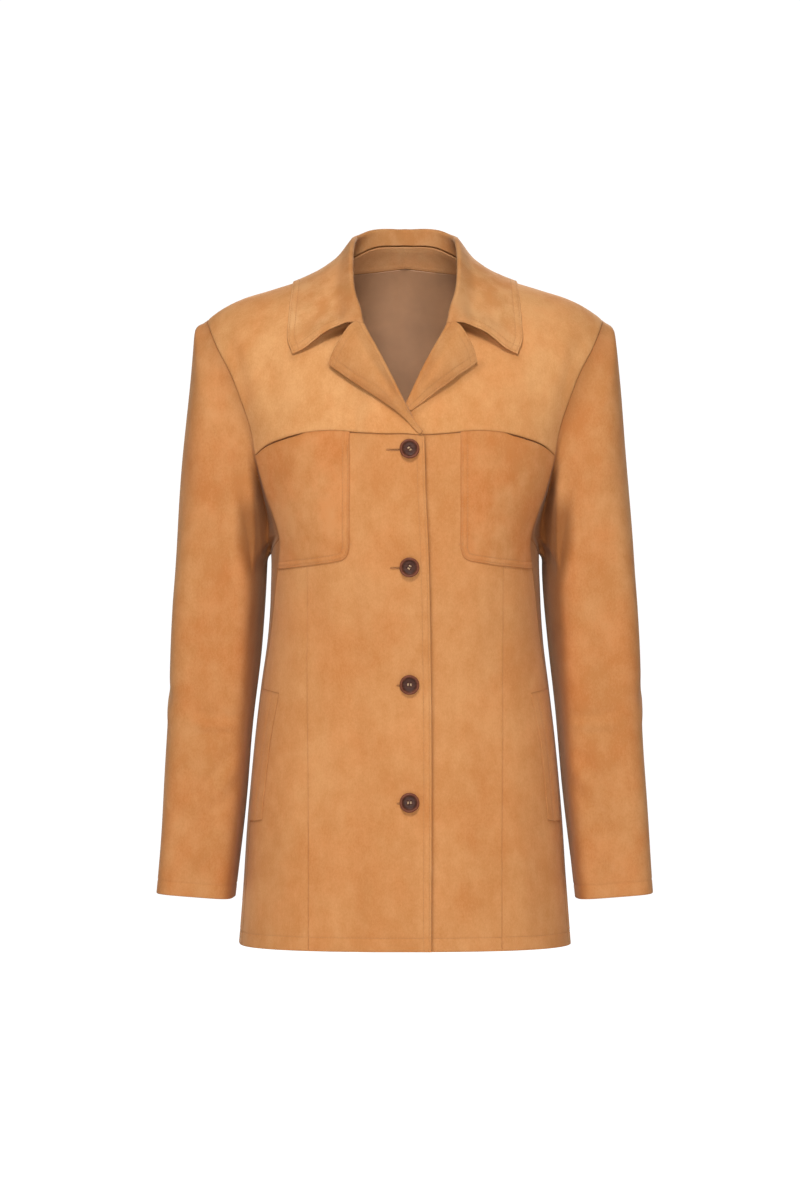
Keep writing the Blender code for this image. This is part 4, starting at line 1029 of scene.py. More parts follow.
# The head: how hard it leaves both ends straight, how far below the armhole it ends, and its steps. The tube's
# rings reach their even swings over the share TUBE_TURN of its length.
HEAD_PULL, HEAD_REACH, HEAD_DROP, HEAD_LEAST, HEAD_STEPS = 1.1, 0.005, 0.9, 0.002, 24
TUBE_STEPS, TUBE_TURN = 160, 0.4
HOLLOW_SHARP, HOLLOW_FRONT, HOLLOW_SOFT, HOLLOW_DARK, HOLLOW_ROWS = 6, -0.012, 0.028, 0.014, 4
SWING_LENGTH = 0.00078  # metres round the sleeve to a degree of swing
ARMHOLE_FADE, SLEEVE_HEM = 0.03, 0.0012
SLACK_SHARE, SLACK_SHORT, SLACK_SEED = 1.3, 1.5, 5.0  # the sleeve's slack: its share, shortening and seed
# The small gathers along the armhole's seam: height, fade, waves round the sleeve, and what spaces them unevenly.
GATHER_TALL, GATHER_FADE, GATHER_WAVES, GATHER_UNEVEN = 0.00022, 0.010, 520, 90
HOLLOW_SHADE, INSIDE_SHADE = 1.2, 0.9  # how much painted shade lies in the hollow and down the sleeve's inside
# Where the sleeve's inside carries painted shade: between two swings, each with its soft edge, the first one
# EARLY degrees lower above the elbow; from the armhole down, and less by the share WEAK in the lower arm.
INSIDE_SWINGS, INSIDE_SOFT = (122, 222), (16, 30)
INSIDE_EARLY, INSIDE_EARLY_FROM, INSIDE_EARLY_OVER = 18, -0.34, 0.06
INSIDE_TOP, INSIDE_TOP_OVER = -0.225, 0.035
INSIDE_WEAK, INSIDE_WEAK_FROM, INSIDE_WEAK_OVER = 0.55, -0.37, 0.15
SLEEVE_FOLDS = table(
    "x0 z0 x1 z1 bow wide rise",
    (-0.012, -0.462, 0.03, -0.466, 0.001, 0.005, -0.0013),
    (-0.016, -0.473, 0.026, -0.477, 0.001, 0.0055, 0.0011),
    (-0.01, -0.485, 0.022, -0.484, -0.001, 0.005, -0.001),
    (-0.012, -0.552, 0.022, -0.503, 0.003, 0.006, -0.0015),
    (-0.002, -0.56, 0.03, -0.512, 0.003, 0.007, 0.0013), (0.01, -0.566, 0.034, -0.53, 0.002, 0.0055, -0.001),
    (-0.03, -0.52, 0.002, -0.5, 0.002, 0.008, 0.0009), (-0.028, -0.6, 0.01, -0.575, 0.003, 0.009, -0.0009),
    (-0.02, -0.622, 0.016, -0.603, 0.002, 0.008, 0.0008), (0.03, -0.3, 0.036, -0.4, 0.002, 0.01, -0.001),
    (-0.03, -0.33, -0.022, -0.44, 0.004, 0.015, 0.001), (0.004, -0.25, 0.012, -0.42, 0.004, 0.015, -0.0009),
    (-0.014, -0.13, 0.012, -0.215, 0.005, 0.01, -0.0011), (-0.03, -0.12, -0.006, -0.23, 0.004, 0.013, 0.001),
    (-0.055, -0.43, -0.03, -0.45, 0.001, 0.007, -0.001), (-0.06, -0.446, -0.034, -0.47, 0.001, 0.007, 0.001),
    (0.12, -0.44, 0.16, -0.455, 0.002, 0.008, -0.0016), (0.118, -0.458, 0.165, -0.47, 0.002, 0.008, 0.0015),
    (0.12, -0.478, 0.16, -0.486, 0.002, 0.007, -0.0014),
    (-0.15, -0.445, -0.115, -0.452, 0.002, 0.008, -0.0013),
    (-0.155, -0.462, -0.118, -0.47, 0.002, 0.008, 0.0012), (0.11, -0.2, 0.15, -0.25, 0.004, 0.013, -0.0014),
    (0.12, -0.24, 0.16, -0.3, 0.004, 0.014, 0.0012),
)


def tube(swing, level):
    """Points of a sleeve's middle surface: superellipse rings round a bending axis, squarer lower down, where
    they are also tilted. Swing goes from the outer side (0) over the front to the inside."""
    out, forward, wide, deep, slant = columns(SLEEVE, level)
    wide, deep = wide - WALL / 2, deep - WALL / 2
    cs, sn = np.cos(np.radians(swing)), np.sin(np.radians(swing))
    power = SLEEVE_POWER + SLEEVE_SQUARE * ease((SQUARE_FROM - level) / SQUARE_OVER)
    radius = (np.abs(cs / wide) ** power + np.abs(sn / deep) ** power) ** (-1 / power)
    tilt = CUFF_TILT * ease((TILT_FROM - level) / TILT_OVER)
    inside = np.where(cs < 0, slant * np.clip(radius * sn / deep, 0, 1), 0)
    across = radius * cs * (1 - inside)
    return stacked(out + across, -forward - radius * sn, level + tilt * across)


def armhole_spots(cols):
    """Spots round the armhole at fractional columns."""
    front = seam_spots(FRONT_SIDE_SEAM, np.interp(cols, [0, YOKE_COL, FRONT_COL], [90, yoke_rise(2), 0]))
    low = underarm_spots(np.interp(cols, [FRONT_COL, UNDER_COL], ARMHOLE_BOTTOM["turn"][[0, -1]]))
    back = seam_spots(BACK_SIDE_SEAM, np.interp(cols, [UNDER_COL, ARMHOLE_COLS], [0, 90]))
    cols = cols[:, None]
    return np.where(cols <= FRONT_COL, front, np.where(cols <= UNDER_COL, low, back))


# The hollow where the sleeve's front falls past the armhole: by level, how far out the armhole's seam and the
# fold's edge lie, where the hollow is deepest between them (0 to 1), and how deep it is.
HOLLOW = table(
    "level seam edge lowest deep",
    (-0.345, 0.129, 0.1575, 0.6, 0.0), (-0.31, 0.129, 0.1575, 0.58, 0.014),
    (-0.282, 0.1286, 0.1575, 0.5, 0.028), (-0.262, 0.1338, 0.158, 0.34, 0.032),
    (-0.238, 0.1421, 0.159, 0.3, 0.028), (-0.215, 0.1478, 0.161, 0.3, 0.016),
    (-0.19, 0.1525, 0.164, 0.3, 0.005), (-0.17, 0.156, 0.166, 0.3, 0.0),
)


def hollow(points):
    """How far back the sleeve's cloth lies in the hollow beside the armhole: two slopes that meet in a soft
    valley, only on the sleeve's front."""
    seam, edge, lowest, deep = columns(HOLLOW, points[..., 2])
    t = (points[..., 0] - seam) / (edge - seam)
    near, far = t / lowest, (1 - t) / (1 - lowest)
    slope = -np.log(np.exp(-HOLLOW_SHARP * near) + np.exp(-HOLLOW_SHARP * far)) / HOLLOW_SHARP
    return deep * np.clip(slope, 0, 1) * ease((HOLLOW_FRONT - points[..., 1]) / HOLLOW_SOFT)


def sleeve_surface():
    """Middle points of the left sleeve all round, its normals, its swings and how far its cloth lies back in the
    hollow: a cubic head that leaves the armhole square to it and runs into the tube, then the tube."""
    cols = np.arange(0, ARMHOLE_COLS, 1 / COL_STEPS)
    spots = armhole_spots(cols)
    out = normal(spots[:, 0], spots[:, 1])
    seam = lay(LEFT, spots, -WALL / 2)
    open_way = unit(np.cross(out, tangents(seam, 0, cyclic=True)))
    forward = -(seam[:, 1] - ARMHOLE_CENTRE[0]) / ARMHOLE_REACH[0]
    high = (seam[:, 2] - ARMHOLE_CENTRE[1]) / ARMHOLE_REACH[1]
    swing = np.unwrap(np.arctan2(forward, high))
    swing = np.degrees(swing - swing[0])
    seam_cols = [0, FRONT_SEAM_COL, BACK_SEAM_COL, ARMHOLE_COLS]
    even = np.interp(cols, seam_cols, [0, FRONT_SLEEVE_SEAM, BACK_SLEEVE_SEAM, 360])
    gap = np.linalg.norm((tube(swing, seam[:, 2]) - seam)[:, :2], axis=1)
    join_level = seam[:, 2] - HEAD_DROP * gap - HEAD_LEAST
    join = tube(swing, join_level)
    reach = (HEAD_PULL * np.linalg.norm(join - seam, axis=1) + HEAD_REACH)[:, None]
    down = unit(tube(swing, join_level - HEAD_LEAST) - join)
    s = stretch(0, 1, HEAD_STEPS)[None, :, None]
    start, end = seam[:, None], join[:, None]
    head = start * (1 + 2 * s) * (1 - s) ** 2 + end * s * s * (3 - 2 * s)
    head = head + (open_way * reach)[:, None] * s * (1 - s) ** 2 - (down * reach)[:, None] * s * s * (1 - s)
    rows = stretch(0, 1, TUBE_STEPS)[1:]
    levels = join_level[:, None] + (SLEEVE["level"][0] - join_level)[:, None] * rows
    swings = swing[:, None] + (even - swing)[:, None] * ease(rows / TUBE_TURN)
    middle = np.concatenate([head, tube(swings, levels)], axis=1)
    sunk = hollow(middle)
    middle[..., 1] += sunk * ease(np.arange(middle.shape[1]) / HOLLOW_ROWS)
    ups = grid_normals(middle, cyclic=True)
    ups[:, 0] = out
    all_swings = np.concatenate([np.repeat(swing[:, None], head.shape[1], axis=1), swings], axis=1)
    return middle, ups, all_swings, sunk


def painted_inside_shade(swing, level):
    """How much painted shade a sleeve carries down its inside, beside the body: between two swings, the first of
    them lower up the arm, and from the armhole down, weaker below the elbow."""
    first = INSIDE_SWINGS[0] - INSIDE_EARLY * ramp(level, INSIDE_EARLY_FROM, INSIDE_EARLY_OVER)
    weaker = 1 - INSIDE_WEAK * ease((INSIDE_WEAK_FROM - level) / INSIDE_WEAK_OVER)
    inside = ramp(swing, first, INSIDE_SOFT[0]) * ease((INSIDE_SWINGS[1] - swing) / INSIDE_SOFT[1])
    return inside * ease((INSIDE_TOP - level) / INSIDE_TOP_OVER) * weaker


def sleeve_strip(side, first, last, kinds, counts, name):
    """The part of the sleeve between two columns as a wall with rolled rims."""
    middle, ups, swings, sunk = sleeve_surface()
    index = np.arange(first * COL_STEPS, last * COL_STEPS + 1) % len(middle)
    swing = np.unwrap(np.radians(swings[index]), axis=0)
    packed = np.concatenate([middle[index], ups[index], swing[..., None], sunk[index][..., None]], axis=-1)
    packed = regrid(packed, kinds, counts)
    middle, ups, swing, sunk = packed[..., :3], unit(packed[..., 3:6]), np.degrees(packed[..., 6]), packed[..., 7]
    distances = edge_distances(middle)
    drop, lift, pulled = edge_profile(distances, kinds)
    level = middle[..., 2]
    across = ((swing + 90) % 360 - 180) * SWING_LENGTH
    slack = drape(across * SLACK_SHORT, level, SLACK_SEED + side)
    rise = creases(SLEEVE_FOLDS, across, level) + SLACK_SHARE * slack
    gather = np.sin(across * GATHER_WAVES + 2 * np.sin(across * GATHER_UNEVEN))
    gather = gather * np.exp(-distances[2] / GATHER_FADE)
    rise = rise * ease(distances[2] / ARMHOLE_FADE) + GATHER_TALL * gather + pulled
    flip = np.array([side, 1, 1])
    outer = (middle + ups * (WALL / 2 + rise - drop)[..., None]) * flip
    inner = (middle - ups * (WALL / 2 - rise - lift + turned_up(distances[3], SLEEVE_HEM))[..., None]) * flip
    # Painted shade: in the hollow beside the armhole and down the sleeve's inside.
    dark = np.maximum(HOLLOW_SHADE * ease(sunk / HOLLOW_DARK), INSIDE_SHADE * painted_inside_shade(swing % 360, level))
    mark = np.maximum(edge_marks(distances, kinds), dark)
    return shell_mesh(name, outer[:, ::-1], inner[:, ::-1], side == LEFT, mark[:, ::-1])


# --- Pockets ---

PATCH_THICK, WELT_THICK, PATCH_ROLL = 0.0014, 0.0009, 0.0012
UNDER_GAP = 0.0001  # between a patch's inner face and the cloth under it
# The chest pocket's sewn edge, down its inner side, round the corner and outwards.
POCKET_EDGE = table(
    "step x z",
    (0, 0.0567, -0.1763), (1, 0.0567, -0.232), (2, 0.0567, -0.288), (3, 0.0574, -0.2955),
    (4, 0.0595, -0.3012), (5, 0.0638, -0.3047), (6, 0.0705, -0.3064), (7, 0.092, -0.3096),
    (8, 0.129, -0.3134),
)
POCKET_CORNER = 4.4
POCKET_STITCHES, POCKET_GROOVE = (0.0021, 0.0071), 0.0013
POCKET_STITCH_TOP, POCKET_STITCH_OUT = -0.182, 0.126  # where its rows of stitches stop, up and outwards
# The pocket's mouth: how far above the yoke's seam it lies, how much lower it runs from MOUTH_FROM outwards, and
# the roll of its edge.
MOUTH_UP, MOUTH_DROP, MOUTH_FROM, MOUTH_OVER = 0.0004, 0.0016, 0.100, 0.012
MOUTH_ROLL = 0.0009
# The pocket's slack: its swell away from the sewn edges, its waves, and how far its mouth stands open.
BAG_TALL, BAG_FROM, BAG_OVER = 0.0006, 0.010, 0.03
BAG_SHARE, BAG_LEAST, BAG_SEED, BAG_FADE = 1.2, -0.0004, 6.0, 0.02
OPEN_TALL, OPEN_FADE, OPEN_FROM = 0.0012, 0.02, 0.095
# Painted shade on a pocket: how dark beside its sewn edges and mouth, how far it reaches from its outer edge in
# the seam, and how dark along its stitches.
SEWN_SHADE, OUTER_SHADE, POCKET_DARK = 0.45, 0.0011, 0.14
SEAM_OVER, WELT_OVER = 0.45, 0.4  # degrees of turn that a patch stays from the side seam
WELT_STITCH, WELT_GROOVE, WELT_PITCH, WELT_THICKER = 0.0068, 0.0012, 0.28, 1.7
# The welt: its slant at both ends, the roll of its free and sewn edges, its slack, and the lift of its back at
# its rims.
WELT_TOP_UP, WELT_FOOT_DOWN = 0.0040, 0.0020
WELT_ROLL, WELT_SEAM_ROLL, WELT_LOOSE, WELT_FADE, WELT_LIFT = 0.0010, 0.0008, 0.0004, 0.006, 0.0004
# The welt's free edge, from its foot up.
WELT_EDGE = table("z x", (-0.5731, 0.1479), (-0.5368, 0.144), (-0.4955, 0.1396), (-0.4416, 0.1299))


def line_distance(points, line):
    """Distance of points from a flat line of segments."""
    start, run = line[:-1], np.diff(line, axis=0)
    away = points[..., None, :] - start
    t = np.clip((away * run).sum(axis=-1) / (run**2).sum(axis=-1), 0, 1)
    return np.linalg.norm(away - run * t[..., None], axis=-1).min(axis=-1)


def beside(line, by):
    """A flat line moved square to its run, to its left for a positive distance."""
    run = unit(np.gradient(line, axis=0))
    return line + by * stacked(-run[:, 1], run[:, 0])


def over_front(side, x, z, up):
    """Points over the front's cloth at this x and z, and the normals there."""
    spots = front_spot(x, z)
    ground = front_relief(side, spots) + lap(side, spots)
    return lay(side, spots, ground + up), normal(side * spots[..., 0], spots[..., 1])


def outer_line(rises, over):
    """x and z up the side seam and the armhole, `over` degrees inside them."""
    return lay(LEFT, seam_spots(FRONT_SIDE_SEAM, rises) - [over, 0])[:, [0, 2]]


def patch_faces(side, flat, up, low):
    """The two faces of a patch over a front, at these heights over its cloth."""
    return [over_front(side, flat[..., 0], flat[..., 1], height)[0] for height in (up, low)]


def pocket_mesh(name, side):
    """A patch over the lower front: sewn down along its inner side and foot, caught in the armhole and the side
    seam at its outer side, and open under the yoke's edge."""
    steps = stretch(0, 8, 96)
    line = stacked(*columns(POCKET_EDGE, steps))
    corner = np.flatnonzero(steps <= POCKET_CORNER)[-1]
    inner, foot = evened(line[: corner + 1][::-1], 120), evened(line[corner:], 60)
    rises = joined(stretch(rise_below(foot[-1, 1]), 0, 8), stretch(0, yoke_rise(2), CHEST))
    outer = evened(outer_line(rises, SEAM_OVER), 120)
    outer[0] = foot[-1]
    top_x = stretch(inner[-1, 0], outer[-1, 0], 60)
    mouth = MOUTH_UP - MOUTH_DROP * ramp(top_x, MOUTH_FROM, MOUTH_OVER)
    top = stacked(top_x, read(YOKE_SEAM, "z", top_x) + mouth)
    inner[-1], outer[-1] = top[0], top[-1]
    flat = regrid(coons(inner, outer, foot, top), ("twin", "seam", "twin", "seam"), (44, 56))
    x, z = flat[..., 0], flat[..., 1]
    sewn = line_distance(flat, line)
    left, right, low, high = edge_distances(flat)
    sewn_roll = roll(np.minimum(sewn, np.minimum(left, low)), PATCH_ROLL)
    part = np.clip(np.maximum(sewn_roll, roll(np.minimum(right, high), MOUTH_ROLL)) / PATCH_ROLL, 0, 1)
    pulled = sum(groove(sewn, at, PULL, POCKET_GROOVE) for at in POCKET_STITCHES)
    sag = drape(x * 1.3, z * 1.2, BAG_SEED + side) * ease(np.minimum(sewn, right) / BAG_FADE)
    slack = BAG_TALL * ramp(sewn, BAG_FROM, BAG_OVER) + BAG_SHARE * np.maximum(sag, BAG_LEAST)
    loose = slack + OPEN_TALL * np.exp(-high / OPEN_FADE) * ramp(x, OPEN_FROM, OPEN_FADE)
    up = PATCH_THICK * (1 - 0.5 * part) + pulled + loose
    face, back = patch_faces(side, flat, up, np.minimum(up, PATCH_THICK / 2) * part + loose * 0.5 + UNDER_GAP)
    runs = []
    # Painted shade beside the sewn edges and the mouth, full at the outer edge in the seam, and along the
    # stitches.
    mark = np.maximum(SEWN_SHADE * np.exp(-np.minimum(sewn, high) / SEAM_SHADE), np.exp(-right / OUTER_SHADE))
    for at in POCKET_STITCHES:
        row = beside(line, at)
        row = row[(row[:, 1] < POCKET_STITCH_TOP) & (row[:, 0] < POCKET_STITCH_OUT)]
        runs.append(over_front(side, row[:, 0], row[:, 1], PATCH_THICK - PULL))
        mark = np.maximum(mark, POCKET_DARK * bell(sewn - at, STITCH_SHADE))
    return shell_mesh(name, face, back, side == RIGHT, mark), runs


def welt_mesh(name, side):
    """A slanting welt: free along its inner edge, caught in the side seam, its two ends tacked down."""
    share = stretch(0, 1, 60)
    heights = stretch(WELT_EDGE["z"][0], WELT_EDGE["z"][-1], 60)
    edge = stacked(read(WELT_EDGE, "x", heights), heights)
    outer = outer_line(rise_below(heights), WELT_OVER)
    outer[:, 1] += WELT_TOP_UP * share - WELT_FOOT_DOWN * (1 - share)
    ends = (edge[k] + (outer[k] - edge[k]) * stretch(0, 1, 20)[:, None] for k in (0, -1))
    flat = regrid(coons(edge, outer, *ends), ("twin", "seam", "free", "free"), (8, 60))
    left, right, low, high = edge_distances(flat)
    free = np.minimum(left, np.minimum(low, high))
    part = np.clip(np.maximum(roll(free, WELT_ROLL), roll(right, WELT_SEAM_ROLL)) / WELT_ROLL, 0, 1)
    loose = WELT_LOOSE * np.sin(np.pi * np.clip(low / (low + high), 0, 1)) * np.exp(-left / WELT_FADE)
    up = WELT_THICK * (1 - 0.5 * part) + loose + groove(left, WELT_STITCH, PULL, WELT_GROOVE)
    face, back = patch_faces(side, flat, up, WELT_LIFT * part + loose * 0.8 + UNDER_GAP)
    row = beside(edge, -WELT_STITCH)[3:-3]
    tack = edge[0] + stacked(stretch(-0.001, 0.009, 12), stretch(0.0012, -0.0013, 12))
    run = over_front(side, row[:, 0], row[:, 1], 0.0006)
    tack_run = over_front(side, tack[:, 0], tack[:, 1], 0.0010)
    # Painted shade along the welt's free edge and at its upper end.
    mark = np.maximum(POCKET_DARK * np.exp(-left / WELT_GROOVE), 0.9 * np.exp(-high / OUTER_SHADE))
    return shell_mesh(name, face, back, side == RIGHT, mark), [run], [tack_run]


# --- Inside the back ---

LINING_WALL, INSIDE_GAP, INSIDE_ROLL = 0.001, 0.0014, 0.0009
FACING_EDGE = table("x z", (0.0, 0.0088), (0.026, 0.0056), (0.053, 0.0022), (0.07, -0.0005))
FACING_LOW_X = 0.0665  # half width of the facing's lower edge
FACING_UP, FACING_UP_REACH = 0.0012, 0.0035  # how far the facing's upper rim stands up inside the collar
FACING_STITCH, FACING_TROUGH, FACING_GROOVE = 0.0030, 0.0002, 0.0008
# Painted shade along the facing's upper rim, at the neck seam: how dark, and how far down it reaches.
FACING_SHADE, FACING_SHADE_REACH = 0.25, 0.0014
LINING_HEM, LINING_TOP, LINING_ARCH, LINING_SEAM = -84, 88.5, 91.5, 0.5
# The tuck: where its middle is, its height and half width, and how far down it has opened out.
TUCK_X, TUCK_TALL, TUCK_WIDE, TUCK_LONG = 0.0005, 0.0016, 0.0030, 0.16
TUCK_SIDE, TUCK_SIDE_DEEP, TUCK_SIDE_WIDE = 0.0052, 0.6, 0.0018  # the troughs beside it
WAVE_TALL, WAVE_ACROSS, WAVE_UP, WAVE_FADES = 0.0010, 95, 14, (0.05, 0.012)


def behind_at(x, z):
    """Spots of the back with this x and z, above the bust line."""
    return behind(x, 180 - arch_above(x, z))


def inside_shell(name, spots, counts, relief_at, raised=0.0):
    """A thin wall inside the back, its seen face inwards, with closed rims; its upper rim stands higher by
    `raised`."""
    spots = regrid(spots, ("free",) * 4, counts, partial(lay, LEFT))
    points = lay(LEFT, spots)
    distances = edge_distances(points)
    part = np.maximum.reduce([roll(d, INSIDE_ROLL) / INSIDE_ROLL for d in distances])
    depth = WALL + INSIDE_GAP
    near = lay(LEFT, spots, -(depth + LINING_WALL / 2 * part))
    far = lay(LEFT, spots, -(depth + LINING_WALL - LINING_WALL / 2 * part - relief_at(points, distances)))
    lift = raised * bell(distances[3], FACING_UP_REACH)
    near[..., 2] += lift
    far[..., 2] += lift
    # A raised upper rim carries painted shade.
    mark = FACING_SHADE * np.exp(-distances[3] / FACING_SHADE_REACH) if raised else np.zeros_like(lift)
    return shell_mesh(name, far[::-1], near[::-1], False, mark[::-1])


def facing_relief(points, distances):
    """The trough of a row of stitches along the facing's lower edge."""
    return groove(distances[2], FACING_STITCH, FACING_TROUGH, FACING_GROOVE)


def lining_relief(points, distances):
    """The lining's tuck: a flat-topped ridge between two troughs, which opens out downwards, and slow waves."""
    x, high = points[..., 0] - TUCK_X, distances[3]
    fold = np.exp(-((x / TUCK_WIDE) ** 4)) - TUCK_SIDE_DEEP * bell(np.abs(x) - TUCK_SIDE, TUCK_SIDE_WIDE)
    wave = WAVE_TALL * np.sin(points[..., 0] * WAVE_ACROSS + points[..., 2] * WAVE_UP)
    wave = wave * ease(high / WAVE_FADES[0]) * ease(high / WAVE_FADES[1])
    return TUCK_TALL * ease(1 - high / TUCK_LONG) * fold + wave


def facing_mesh(name):
    """The neck facing, along the back of the neck hole."""
    low_x = stretch(FACING_LOW_X, -FACING_LOW_X, 96)
    top = neck_back_spots(stretch(0, 4, 48) + 1e-9)
    top = joined(top, other_half(top)[::-1])
    low = behind_at(low_x, read(FACING_EDGE, "z", np.abs(low_x)))
    low[:, 0] = np.where(low_x < 0, low[:, 0] + 360, low[:, 0])
    ends = (low[k] + (top[k] - low[k]) * stretch(0, 1, 12)[:, None] for k in (0, -1))
    return inside_shell(name, coons(*ends, low, top), (80, 14), facing_relief, FACING_UP)


def lining_mesh(name):
    """The back lining, under the facing, with a tuck down its centre that opens out over its first 160 mm."""
    rises = joined(stretch(LINING_HEM, 0, LOW), stretch(0, LINING_TOP, BACK_ARM))
    left = seam_spots(BACK_SIDE_SEAM, rises) + [LINING_SEAM, 0]
    shoulder = behind(stretch(body(*left[-1])[0], FACING_LOW_X, SHOULDER), LINING_ARCH)
    edge_x = stretch(FACING_LOW_X, 0, 24)
    top = joined(shoulder, behind_at(edge_x, read(FACING_EDGE, "z", edge_x) - 0.0004))
    top[0] = left[-1]
    top, right = joined(top, other_half(top)[::-1]), other_half(left)
    low = level_spots(left[0, 0], right[0, 0], LINING_HEM, len(top) - 1)
    return inside_shell(name, coons(left, right, low, top), (64, 76), lining_relief)


# --- Buttons ---

BUTTON_X, BUTTON_HEIGHTS = 0.0044, (-0.1919, -0.3118, -0.4320, -0.5530)
BUTTON_TURNS = (42.0, -30.0, 88.0, 92.0)
BUTTON_TILTS = ((0.02, 0.03), (-0.03, 0.01), (0.01, -0.03), (0.02, 0.01))
BUTTON_UP = 0.0006
HOLE_ENDS, HOLE_HALF = (0.0232, 0.0192, 0.0128, 0.0126), 0.0112
BUTTON_FACE = table(
    "share radius height",
    (0.0, 0.0, 0.0014), (0.46, 0.0034, 0.0014), (0.6, 0.0056, 0.00155), (0.7, 0.0069, 0.002),
    (0.78, 0.0077, 0.0031), (0.85, 0.0086, 0.0036), (0.92, 0.0096, 0.0032), (0.97, 0.01005, 0.0024),
    (1.0, 0.01015, 0.0018),
)
BUTTON_BACK = table(
    "share radius height",
    (0.0, 0.0, 0.0), (0.8, 0.0085, 0.0), (0.92, 0.0097, 0.0006), (1.0, 0.01015, 0.0018),
)
HOLE_OUT, HOLE_RADIUS, HOLE_DEEP, HOLE_SOFT = 0.0020, 0.00085, 0.0010, 0.00012
RIM_FROM, RIM_OVER = 0.64, 0.14  # the share of the radius at which the button's rim starts, and its soft start
BAR_STEPS, BAR_STRANDS, BAR_RADIUS, BAR_HEIGHT = 7, 3, 0.00034, 0.0015
BEAD_STEPS, BEAD_SIDES, BEAD_RADIUS, BEAD_STITCHES, BEAD_WIDE, BEAD_DROP = 160, 8, 0.00052, 40, 0.0007, 0.0008


def disc(steps):
    """A square grid pressed into a disc: the share of the radius is the larger of the two sides, and the angle
    runs evenly round each square ring. Returns shares and angles."""
    side = stretch(-1, 1, steps)
    a, b = np.meshgrid(side, side, indexing="ij")
    share = np.maximum(np.abs(a), np.abs(b))
    safe = np.where(share > 0, share, 1)
    first = np.where(a >= 0, 0, math.pi) + math.pi / 4 * b / safe * np.where(a < 0, -1, 1)
    second = np.where(b >= 0, 0.5 * math.pi, 1.5 * math.pi) - math.pi / 4 * a / safe * np.where(b < 0, -1, 1)
    return share, np.where(np.abs(a) >= np.abs(b), first, second)


def button_points():
    """A dished button with a rolled rim and four holes: its face, its back, and how far each point of the face
    is on the rim."""
    share, angle = disc(48)
    face, back = (
        stacked(radius * np.cos(angle), radius * np.sin(angle), height)
        for radius, height in (columns(BUTTON_FACE, share), columns(BUTTON_BACK, share))
    )
    holes = np.zeros_like(share)
    for way in np.radians([45, 135, 225, 315]):
        away = np.hypot(face[..., 0] - HOLE_OUT * math.cos(way), face[..., 1] - HOLE_OUT * math.sin(way))
        holes = np.maximum(holes, ease((HOLE_RADIUS + HOLE_SOFT - away) / (2 * HOLE_SOFT)))
    face[..., 2] -= HOLE_DEEP * holes
    return face, back, ramp(share, RIM_FROM, RIM_OVER)


def bar_points(start, end):
    """A few strands of thread side by side from hole to hole, arched a little."""
    t = stretch(0, 1, BAR_STEPS)
    run = unit(end - start)
    aside = np.array([-run[1], run[0], 0.0])
    tubes = []
    for k in range(BAR_STRANDS):
        shift = (k - (BAR_STRANDS - 1) / 2) * BAR_RADIUS * 1.5
        line = start + (end - start) * t[:, None] + aside * shift
        line[:, 2] = BAR_HEIGHT + 0.0008 * np.sqrt(np.sin(np.pi * t)) - 0.0010 + 0.0001 * (k % 2)
        tubes.append(tube_rings(line, aside, np.array([0, 0, 1.0]), BAR_RADIUS))
    return np.array(tubes)


def button_frame(number):
    """Place and axes of a button: over the right front's cloth, tipped a little on its thread, then turned."""
    at, up = over_front(RIGHT, np.array([-BUTTON_X]), np.array([BUTTON_HEIGHTS[number]]), BUTTON_UP)
    up = unit(up[0] + [BUTTON_TILTS[number][0], 0, BUTTON_TILTS[number][1]])
    across = unit(np.cross([0, 0, 1.0], up))
    turn = math.radians(BUTTON_TURNS[number])
    spin = np.array([[math.cos(turn), math.sin(turn), 0], [-math.sin(turn), math.cos(turn), 0], [0, 0, 1.0]])
    return at[0], spin @ np.array([across, np.cross(up, across), up])


def hole_x(number):
    """Middle of a buttonhole, out from the centre front of the right front."""
    return -BUTTON_X + HOLE_ENDS[number] - HOLE_HALF


def buttonhole_mesh(name, number):
    """A bead of close stitches round a slit: a tube along a long flat ring, ridged at each stitch."""
    t = math.tau * np.arange(BEAD_STEPS) / BEAD_STEPS
    x = HOLE_HALF * np.sign(np.cos(t)) * np.abs(np.cos(t)) ** 0.7
    z = BEAD_WIDE * np.sign(np.sin(t)) * np.abs(np.sin(t)) ** 0.45
    line, up = over_front(RIGHT, hole_x(number) + x, BUTTON_HEIGHTS[number] - BEAD_DROP + z, 0.0002)
    aside = np.cross(tangents(line, 0, cyclic=True), up)
    radius = BEAD_RADIUS * (1 + 0.16 * np.cos(BEAD_STITCHES * t))
    points = tube_rings(line, aside * 1.1, up * 0.8, radius, BEAD_SIDES)
    index = np.arange(BEAD_STEPS * BEAD_SIDES).reshape(BEAD_STEPS, BEAD_SIDES)
    index = np.concatenate([index, index[:1]])
    return mesh_of(name, points.reshape(-1, 3), grid_quads(np.concatenate([index, index[:, :1]], axis=1)))


def slit_mesh(name, number):
    """A thin closed lens inside a buttonhole's bead, dark as painted shade in the cut."""
    u, v = np.meshgrid(stretch(-1, 1, 24), stretch(-1, 1, 4), indexing="ij")
    x = hole_x(number) + (HOLE_HALF - 0.0008) * u
    z = BUTTON_HEIGHTS[number] - BEAD_DROP + BEAD_WIDE * v * np.sqrt(1 - 0.9 * u**2)
    up = 0.0003 * (1 - v**2) * (1 - u**2)
    face, back = patch_faces(RIGHT, stacked(x, z), 0.00015 + up, -0.0004 - up)
    return shell_mesh(name, face, back, flip=True)


# --- Materials ---


